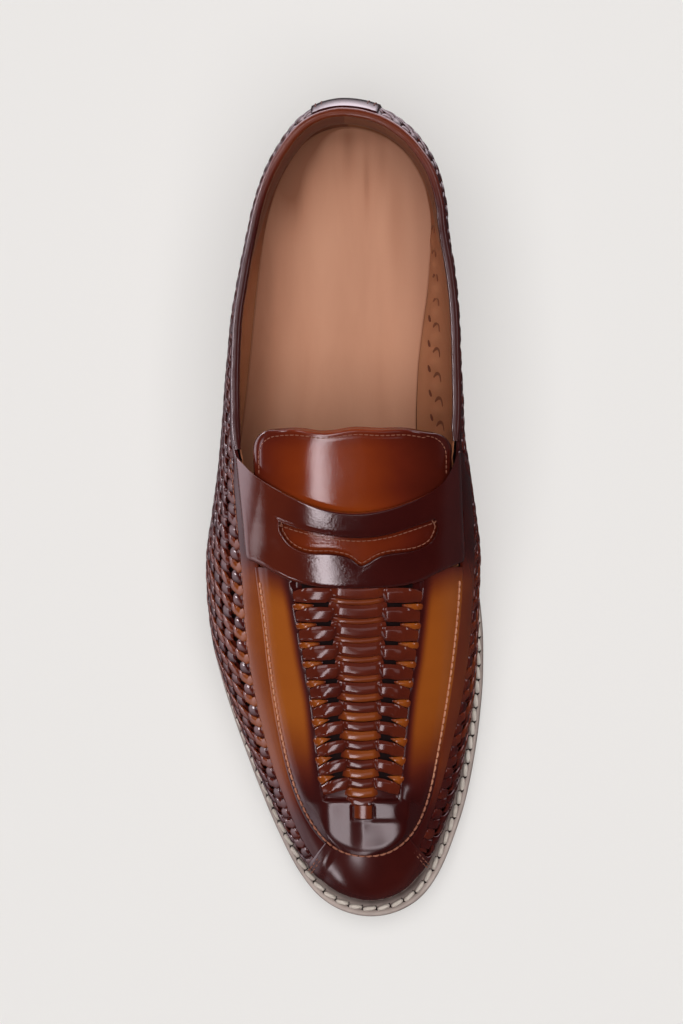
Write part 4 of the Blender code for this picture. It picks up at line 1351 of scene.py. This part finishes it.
def sock_tone(across, x, y):
    """The sock's colour: painted shade along its edges, most at the outer one, and towards the tongue;
    darker at the heel, with streaks.
    """
    tone = 0.8 - 0.58 * smooth_step(-0.5, -1.0, across) - 0.1 * smooth_step(0.7, 1.0, across)
    tone = tone - 0.16 * smooth_step(54, 20, y) - 0.02 * smooth_step(100, 130, y)
    for at_x, at_y, half_width, half_length, depth in SOCK_STREAKS["rows"]:
        tone = tone - depth * np.exp(-((x - at_x) / half_width) ** 2 - ((y - at_y) / half_length) ** 2)
    return tone


# ---------------------------------------------------------------- stitches
# One thread along its length: how far it stands out, and how thick it is, in its own radius.
STITCH = {
    "columns": ("share", "rise", "radius"),
    "rows": (
        (-0.5, -0.9, 0.5), (-0.4, 0.05, 0.9), (-0.15, 0.45, 1), (0.15, 0.45, 1), (0.4, 0.05, 0.9),
        (0.5, -0.9, 0.5),
    ),
}


def stitch(centre, along, up, length, radius, tone):
    """One thread on the surface: its middle stands proud and its ends dive in."""
    shares, rises, radii = (column(STITCH, name)[:, None] for name in STITCH["columns"])
    line = centre + along * length * shares + up * radius * rises
    return tube(line, radius * radii[:, 0], 8, tone, np.cross(up, along) + 0.01)


def at_run(line, run, place):
    """Point of a line at a distance along it."""
    return np.array([np.interp(place, run, line[:, k]) for k in range(3)])


def stitch_row(points, normals, pitch, length, radius, tone=0.5, slant=0.0):
    """Stitches at an even pitch along a line of surface points, each turned by slant degrees."""
    run = run_along(points)
    count = int(run[-1] / pitch)
    turn = math.radians(slant)
    parts = []
    for place in (np.arange(count) + 0.5) * run[-1] / count:
        centre, up = at_run(points, run, place), unit(at_run(normals, run, place))
        along = at_run(points, run, place + 0.3) - at_run(points, run, place - 0.3)
        along = unit(along - up * np.dot(along, up))
        way = along * math.cos(turn) + np.cross(up, along) * math.sin(turn)
        faded = tone * blend(1.0, 0.5, smooth_step(240, 262, centre[1]))
        parts.append(stitch(centre, way, up, length, radius, faded))
    return parts


def surface_row(plan, lift, **sizes):
    """Stitches along a plan line on the upper's top."""
    points, normals = on_top(plan[:, 0], plan[:, 1], lift)
    return stitch_row(points, normals, **sizes)


def build_seam_stitches(material):
    """Thin thread of the apron seam, the strap, the tongue, the back strip and the toe seams."""
    fine = {"pitch": 1.9, "length": 1.45, "radius": 0.19, "tone": 0.3}
    apron = STITCH_LINE[STITCH_LINE[:, 1] > APRON_BACK + 5]
    lift = apron_lift(EDGE_PAST_STITCHES, apron[:, 0], apron[:, 1]) + 0.12
    parts = surface_row(apron, lift, pitch=2.6, length=2.25, radius=0.38, tone=0.9)
    outer, inner = strap_outlines()
    around_slot = plan_offset(np.concatenate([inner, inner[:1]]), 1.0)
    parts += surface_row(around_slot, STRAP_TOP - 0.12, **fine)
    parts += surface_row(plan_offset(outer[-33:], -2.0), STRAP_TOP - 0.1, **fine)
    parts += surface_row(tongue_stitch_line(), -0.12, **fine)
    for side in (1.0, -1.0):
        parts += back_strip_row(side, BACK_STRIP_HALF - 2.0) + back_strip_row(side, BACK_STRIP_HALF - 4.0)
        parts += toe_seam_row(side)
    return piece("seam_stitches", parts, material, merge=False)


def tongue_stitch_line():
    """Plan line a little inside the tongue's edge, from one side of the strap to the other."""
    inset = 2.0
    back = TONGUE_BACK + inset
    round_corner = 1 - np.sin(np.linspace(0.1, 1, 12) * math.pi / 2)
    y = np.concatenate([np.linspace(136, back + TONGUE_CORNER, 14), back + TONGUE_CORNER * round_corner])
    half = tongue_half(y - inset) - inset
    x = np.linspace(half[-1], -half[-1], 60)[1:-1]
    plan = np.concatenate([
        np.column_stack([half, y]), np.column_stack([x, back + tongue_wave(x + TONGUE_MIDDLE)]),
        np.column_stack([-half[::-1], y[::-1]])])
    return plan + (TONGUE_MIDDLE, 0)


def back_strip_row(side, reach):
    """Stitches down one side of the back strip."""
    t = float(strip_station(reach))
    top = float(collar_v(side, t))
    v = np.linspace(top - 0.06, 0.2, 120)
    points, normals = surface(side, t, v, 1.65)
    return stitch_row(points, normals, pitch=2.8, length=1.9, radius=0.24, tone=0.12)


def toe_seam_row(side):
    """Short rows of stitches on the toe piece's ends."""
    _, seam, _ = locate(*TOE_SEAM[side])
    parts = []
    for ahead in (1.6, 3.4):
        t = float(seam) + ahead / LENGTH
        top = float(apron_edge_v(side, t))
        points, normals = surface(side, t, np.linspace(top - 0.06, 0.35, 60), 1.1)
        parts += stitch_row(points, normals, pitch=2.6, length=1.8, radius=0.22)
    return parts


WELT_STITCH = 5.2               # pitch of the welt's stitches


def welt_line(share, rise):
    """Points all round the welt's top at a share of its margin, and their normals."""
    ring = welt_ring(share, 0, WELT_HIGH + rise, 0.6)
    around = np.concatenate([ring, ring[:1]])
    return around, np.broadcast_to((0.0, 0.0, 1.0), around.shape)


def build_welt_stitches(material):
    """Thick pale thread in the welt's channel."""
    points, normals = welt_line(0.6, 0.2)
    parts = stitch_row(points, normals, WELT_STITCH, 4.4, 0.86, 0.9, slant=9)
    return piece("welt_stitches", parts, material, merge=False)


def build_welt_hole_shade(material):
    """Dark crescents at the stitches' ends: painted shade for the awl holes."""
    points, _ = welt_line(0.6, 0.02)
    run = run_along(points)
    count = int(run[-1] / WELT_STITCH)
    parts = []
    for k in range(count):
        place = k * run[-1] / count
        centre = at_run(points, run, place)
        along = unit(at_run(points, run, place + 0.4) - centre)
        across = np.array([along[1], -along[0], 0.0])
        reach = np.linspace(-1, 1, 9)[:, None]
        curve = centre + across * 1.15 * reach + along * (0.55 * reach ** 2 + 0.3 * reach - 0.3)
        up = np.broadcast_to((0.0, 0.0, 1.0), curve.shape)
        parts.append(ribbon(curve + up * 0.1, up, 0.42 * (1.05 - np.abs(reach[:, 0]) ** 2), 0.3))
    return piece("welt_hole_shade", parts, material, merge=False)


# ---------------------------------------------------------------- materials
def new_material(name):
    """A material, its nodes and links, and its shader."""
    material = bpy.data.materials.new(name)
    material.use_nodes = True
    nodes, links = material.node_tree.nodes, material.node_tree.links
    return material, nodes, links, nodes["Principled BSDF"]


def noise(nodes, links, scale, detail, distortion=0.0, stretch=(1, 1, 1)):
    """Noise in object coordinates; scale is in features a metre."""
    place = nodes.new("ShaderNodeTexCoord")
    mapping = nodes.new("ShaderNodeMapping")
    mapping.inputs["Scale"].default_value = stretch
    links.new(place.outputs["Object"], mapping.inputs["Vector"])
    made = nodes.new("ShaderNodeTexNoise")
    made.inputs["Scale"].default_value = scale
    made.inputs["Detail"].default_value = detail
    made.inputs["Distortion"].default_value = distortion
    links.new(mapping.outputs["Vector"], made.inputs["Vector"])
    return made.outputs["Fac"]


def math_node(nodes, links, operation, first, second):
    """One operation of arithmetic on two sockets or numbers."""
    made = nodes.new("ShaderNodeMath")
    made.operation = operation
    for socket, value in zip(made.inputs, (first, second)):
        if isinstance(value, (int, float)):
            socket.default_value = value
        else:
            links.new(value, socket)
    return made.outputs["Value"]


def colour_ramp(nodes, links, value, stops):
    """Colours by value, from stops of a position and a colour."""
    made = nodes.new("ShaderNodeValToRGB")
    elements = made.color_ramp.elements
    while len(elements) < len(stops):
        elements.new(0.5)
    for element, (position, colour) in zip(elements, stops):
        element.position = position
        element.color = (*colour, 1)
    links.new(value, made.inputs["Fac"])
    return made.outputs["Color"]


def remap(nodes, links, value, low, high):
    """A factor between 0 and 1 turned into a value between low and high."""
    made = nodes.new("ShaderNodeMapRange")
    made.inputs["To Min"].default_value = low
    made.inputs["To Max"].default_value = high
    links.new(value, made.inputs["Value"])
    return made.outputs["Result"]


def bump(nodes, links, shader, height, depth):
    """Relief of a depth in metres."""
    made = nodes.new("ShaderNodeBump")
    made.inputs["Distance"].default_value = depth
    links.new(height, made.inputs["Height"])
    links.new(made.outputs["Normal"], shader.inputs["Normal"])
    return made.outputs["Normal"]


def toned(nodes, links, shader, cloud, mottle, stops):
    """Base colour by the piece's tone, shifted by a cloud."""
    tone = nodes.new("ShaderNodeAttribute")
    tone.attribute_name = "tone"
    shift = remap(nodes, links, cloud, -mottle, mottle)
    shade = math_node(nodes, links, "ADD", tone.outputs["Fac"], shift)
    links.new(colour_ramp(nodes, links, shade, stops), shader.inputs["Base Color"])


# Burnished leather from burgundy to amber.
BURNISH = (
    (0.0, (0.028, 0.0035, 0.0035)), (0.15, (0.055, 0.0075, 0.006)), (0.35, (0.115, 0.018, 0.008)),
    (0.6, (0.20, 0.040, 0.008)), (0.8, (0.27, 0.062, 0.009)), (1.0, (0.34, 0.085, 0.011)),
)
TONGUE_BURNISH = (
    (0.0, (0.028, 0.0035, 0.0035)), (0.35, (0.115, 0.014, 0.006)), (0.6, (0.20, 0.028, 0.006)),
    (1.0, (0.34, 0.062, 0.008)),
)


def leather(name, polish, coat=1.0, stops=BURNISH, mottle=0.12, grain=0.00006, pores=850,
            rough_coat=False, coat_ior=1.5):
    """Polished leather: colour by the piece's tone and a soft mottle, fine grain, a coat of polish."""
    material, nodes, links, shader = new_material(name)
    toned(nodes, links, shader, noise(nodes, links, 60, 5, 0.4), mottle, stops)
    fine = noise(nodes, links, pores, 4, 0.2)
    wide = noise(nodes, links, 190, 3, 0.6)
    height = math_node(nodes, links, "ADD", fine, math_node(nodes, links, "MULTIPLY", wide, 1.6))
    relief = bump(nodes, links, shader, height, grain)
    if rough_coat:
        links.new(relief, shader.inputs["Coat Normal"])
    links.new(remap(nodes, links, wide, 0.43, 0.58), shader.inputs["Roughness"])
    shader.inputs["Coat Weight"].default_value = coat
    shader.inputs["Coat Roughness"].default_value = polish
    shader.inputs["Coat IOR"].default_value = coat_ior
    shader.inputs["Specular IOR Level"].default_value = 0.0
    return material


def plain(name, stops, roughness, relief, depth, stretch=(1, 1, 1), mottle=0.3):
    """Matt leather, thread or rubber: a mottled colour by tone, with fine relief."""
    material, nodes, links, shader = new_material(name)
    toned(nodes, links, shader, noise(nodes, links, 90, 4, 0.3, stretch), mottle, stops)
    fine = noise(nodes, links, relief, 4)
    bump(nodes, links, shader, fine, depth)
    links.new(remap(nodes, links, fine, roughness - 0.1, roughness + 0.1), shader.inputs["Roughness"])
    shader.inputs["Specular IOR Level"].default_value = 0.2
    return material


# Colours of the matt materials, each a position and a colour by tone.
SOLE_COLOURS = ((0.0, (0.05, 0.028, 0.022)), (1.0, (0.11, 0.07, 0.055)))
WELT_COLOURS = ((0.0, (0.09, 0.06, 0.052)), (1.0, (0.62, 0.51, 0.46)))
STACK_COLOURS = ((0.0, (0.045, 0.018, 0.012)), (1.0, (0.12, 0.055, 0.035)))
LIFT_COLOURS = ((0.0, (0.02, 0.017, 0.016)), (1.0, (0.05, 0.042, 0.04)))
SOCK_COLOURS = ((0.0, (0.25, 0.095, 0.05)), (0.5, (0.45, 0.205, 0.122)), (1.0, (0.59, 0.30, 0.19)))
LINING_COLOURS = ((0.0, (0.16, 0.05, 0.03)), (0.5, (0.40, 0.15, 0.07)), (1.0, (0.58, 0.25, 0.13)))
THREAD_COLOURS = ((0.0, (0.10, 0.03, 0.022)), (0.5, (0.36, 0.14, 0.085)), (1.0, (0.60, 0.27, 0.16)))
CREAM_COLOURS = ((0.0, (0.5, 0.42, 0.36)), (1.0, (0.82, 0.74, 0.66)))
# near black: painted shade in the weave's gaps, under the ladder and in the welt's awl holes
HOLE_COLOURS = ((0.0, (0.008, 0.003, 0.003)), (1.0, (0.022, 0.008, 0.006)))


# ---------------------------------------------------------------- the shoe
def build_bottom():
    """Outsole, welt, heel, and the sock inside."""
    build_outsole(plain("sole_rubber", SOLE_COLOURS, 0.55, 1400, 0.00008))
    build_welt(plain("welt_leather", WELT_COLOURS, 0.5, 1200, 0.0001))
    build_heel(
        plain("stacked_leather", STACK_COLOURS, 0.45, 900, 0.0001, stretch=(1, 1, 9)),
        plain("lift_rubber", LIFT_COLOURS, 0.65, 1600, 0.00008))
    build_sock(plain(
        "sock_leather", SOCK_COLOURS, 0.5, 1300, 0.00003, stretch=(1, 0.15, 1), mottle=0.24))


def build_top():
    """Lining, woven sides, panels, apron with its ladder, tongue, strap, trim and all stitches."""
    weave = leather("woven_leather", polish=0.11, coat=0.75, mottle=0.16, grain=0.00005)
    strap = leather(
        "strap_leather", polish=0.1, mottle=0.07, grain=0.000025, pores=1400, rough_coat=True,
        coat_ior=1.62)
    flap = leather(
        "tongue_leather", polish=0.1, stops=TONGUE_BURNISH, grain=0.00002, pores=1900,
        rough_coat=True)
    lining = plain("lining_leather", LINING_COLOURS, 0.5, 1100, 0.00005, mottle=0.15)
    dark = plain("hole_shadow", HOLE_COLOURS, 0.8, 900, 0.00003)
    build_lining(lining)
    build_lining_slits(lining)
    build_weave_backing(dark)
    build_weave(weave)
    build_side_panels(leather("panel_leather", polish=0.24, coat=0.7))
    build_toe_piece(leather("burnished_leather", polish=0.17))
    build_apron(leather("apron_leather", polish=0.2, coat=0.85))
    build_ladder_bed(dark)
    build_ladder(weave)
    build_tongue(flap)
    build_strap(strap)
    build_binding(leather("piping_leather", polish=0.27, mottle=0.04))
    build_back_strip(strap)
    build_seam_stitches(plain("seam_thread", THREAD_COLOURS, 0.6, 3000, 0.00005, mottle=0.2))
    build_welt_stitches(plain("welt_thread", CREAM_COLOURS, 0.65, 2600, 0.00008))
    build_welt_hole_shade(dark)


# ---------------------------------------------------------------- floor, light and camera
FLOOR_REACH = 6.0               # metres


def build_floor():
    """Plain pale paper."""
    material, nodes, links, shader = new_material("floor_paper")
    cloud = noise(nodes, links, 3, 2)
    links.new(
        colour_ramp(nodes, links, cloud, ((0.0, (0.43, 0.42, 0.41)), (1.0, (0.45, 0.44, 0.43)))),
        shader.inputs["Base Color"])
    shader.inputs["Roughness"].default_value = 0.9
    shader.inputs["Specular IOR Level"].default_value = 0.1
    shader.inputs["Emission Color"].default_value = (1.0, 0.97, 0.945, 1)
    shader.inputs["Emission Strength"].default_value = 0.435
    mesh = bpy.data.meshes.new("floor")
    corners = [(x * FLOOR_REACH, y * FLOOR_REACH, 0) for x, y in ((-1, -1), (1, -1), (1, 1), (-1, 1))]
    mesh.from_pydata(corners, [], [(0, 1, 2, 3)])
    mesh.materials.append(material)
    floor = bpy.data.objects.new("floor", mesh)
    bpy.context.scene.collection.objects.link(floor)
    floor.visible_glossy = False


# The studio's glow: by height, 0 straight down and 1 straight up, and by how far to the open side.
GLOW_BY_HEIGHT = (
    (0.0, (0.95, 0.82, 0.9)), (0.25, (1.2, 1.03, 1.14)), (0.5, (1.4, 1.2, 1.33)),
    (0.54, (0.5, 0.43, 0.48)), (0.59, (0.02, 0.02, 0.02)), (1.0, (0.02, 0.02, 0.02)),
)
GLOW_BY_SIDE = ((0.5, (0.05, 0.05, 0.05)), (0.78, (0.9, 0.9, 0.9)), (1.0, (2.8, 2.8, 2.8)))


def build_world():
    """Dark studio with a pale lilac glow low down on the outer side and behind the heel."""
    world = bpy.data.worlds.new("studio")
    bpy.context.scene.world = world
    world.use_nodes = True
    nodes, links = world.node_tree.nodes, world.node_tree.links
    place = nodes.new("ShaderNodeTexCoord")
    split = nodes.new("ShaderNodeSeparateXYZ")
    links.new(place.outputs["Generated"], split.inputs["Vector"])
    half = math_node(nodes, links, "MULTIPLY", split.outputs["Z"], 0.5)
    low = colour_ramp(nodes, links, math_node(nodes, links, "ADD", half, 0.5), GLOW_BY_HEIGHT)
    behind = math_node(nodes, links, "MULTIPLY", split.outputs["Y"], -2.0)
    open_side = math_node(nodes, links, "MAXIMUM", split.outputs["X"], behind)
    share = colour_ramp(nodes, links, open_side, GLOW_BY_SIDE)
    glow = nodes.new("ShaderNodeVectorMath")
    glow.operation = "MULTIPLY"
    links.new(low, glow.inputs[0])
    links.new(share, glow.inputs[1])
    links.new(glow.outputs["Vector"], nodes["Background"].inputs["Color"])
    nodes["Background"].inputs["Strength"].default_value = 1.0


# Softboxes: direction from the shoe, in degrees from the toe towards the outer side and above
# the floor, then distance and size in metres. The fill only lights; the others only shine.
LIGHTS = {
    "columns": ("name", "turn", "elevation", "distance", "width", "height", "power", "fill"),
    "rows": (
        ("overhead_fill", 0, 90, 2.4, 2.1, 2.1, 64.0, True),
        ("toe_softbox", 10.8, 40.5, 2.5, 0.29, 1.0, 9.0, False),
        ("toe_glint", 28, 12, 2.5, 0.45, 0.3, 3.2, False),
        ("toe_sheen", 0, 55, 2.5, 2.0, 0.5, 3.4, False),
        ("strap_sheen", 46, 8, 2.5, 0.5, 0.4, 1.3, False),
        ("collar_sheen", 90, 68, 2.5, 1.6, 0.5, 9.0, False),
        ("outer_softbox", 92, 4, 2.5, 0.7, 0.3, 18.0, False),
        ("outer_strip", 92, 42, 2.5, 1.2, 0.34, 12.0, False),
        ("inner_strip", -92, 42, 2.5, 1.2, 0.34, 8.0, False),
    ),
}
AIMED_AT = (0, 0, 0.06)         # metres


def build_lights():
    """The softboxes of the table, all aimed at the shoe."""
    for name, turn, elevation, distance, width, height, power, fill in LIGHTS["rows"]:
        turn, elevation = math.radians(turn), math.radians(elevation)
        light = bpy.data.lights.new(name, "AREA")
        light.shape = "RECTANGLE"
        light.size, light.size_y = width, height
        light.energy = power
        light.color = (1.0, 1.0, 1.0) if fill else (1.0, 0.9, 0.95)
        thing = bpy.data.objects.new(name, light)
        level_reach = math.cos(elevation)
        way = Vector((math.sin(turn) * level_reach, math.cos(turn) * level_reach, math.sin(elevation)))
        thing.location = way * distance + Vector(AIMED_AT)
        thing.rotation_euler = way.to_track_quat("Z", "Y").to_euler()
        thing.visible_diffuse = fill
        thing.visible_glossy = not fill
        bpy.context.scene.collection.objects.link(thing)


CAMERA_PLACE = (-0.0560, 0.0004, 2.0)       # metres, like the point that it looks at
CAMERA_AIM = (0.0005, 0.0, 0.05)
CAMERA_LENS = 188.0             # millimetres


def build_camera():
    """Straight above the pair's middle line, with the toe at the foot of the image."""
    data = bpy.data.cameras.new("camera")
    data.sensor_fit = "VERTICAL"
    data.sensor_height = 36
    data.lens = CAMERA_LENS
    data.clip_end = 20
    camera = bpy.data.objects.new("camera", data)
    camera.location = CAMERA_PLACE
    back = (Vector(CAMERA_PLACE) - Vector(CAMERA_AIM)).normalized()
    right = Vector((0, -1, 0)).cross(back).normalized()
    up = back.cross(right)
    camera.rotation_euler = Matrix((right, up, back)).transposed().to_euler()
    bpy.context.scene.collection.objects.link(camera)
    bpy.context.scene.camera = camera


build_camera()
build_bottom()
build_top()
build_floor()
build_world()
build_lights()
bpy.context.scene.view_settings.view_transform = "Standard"
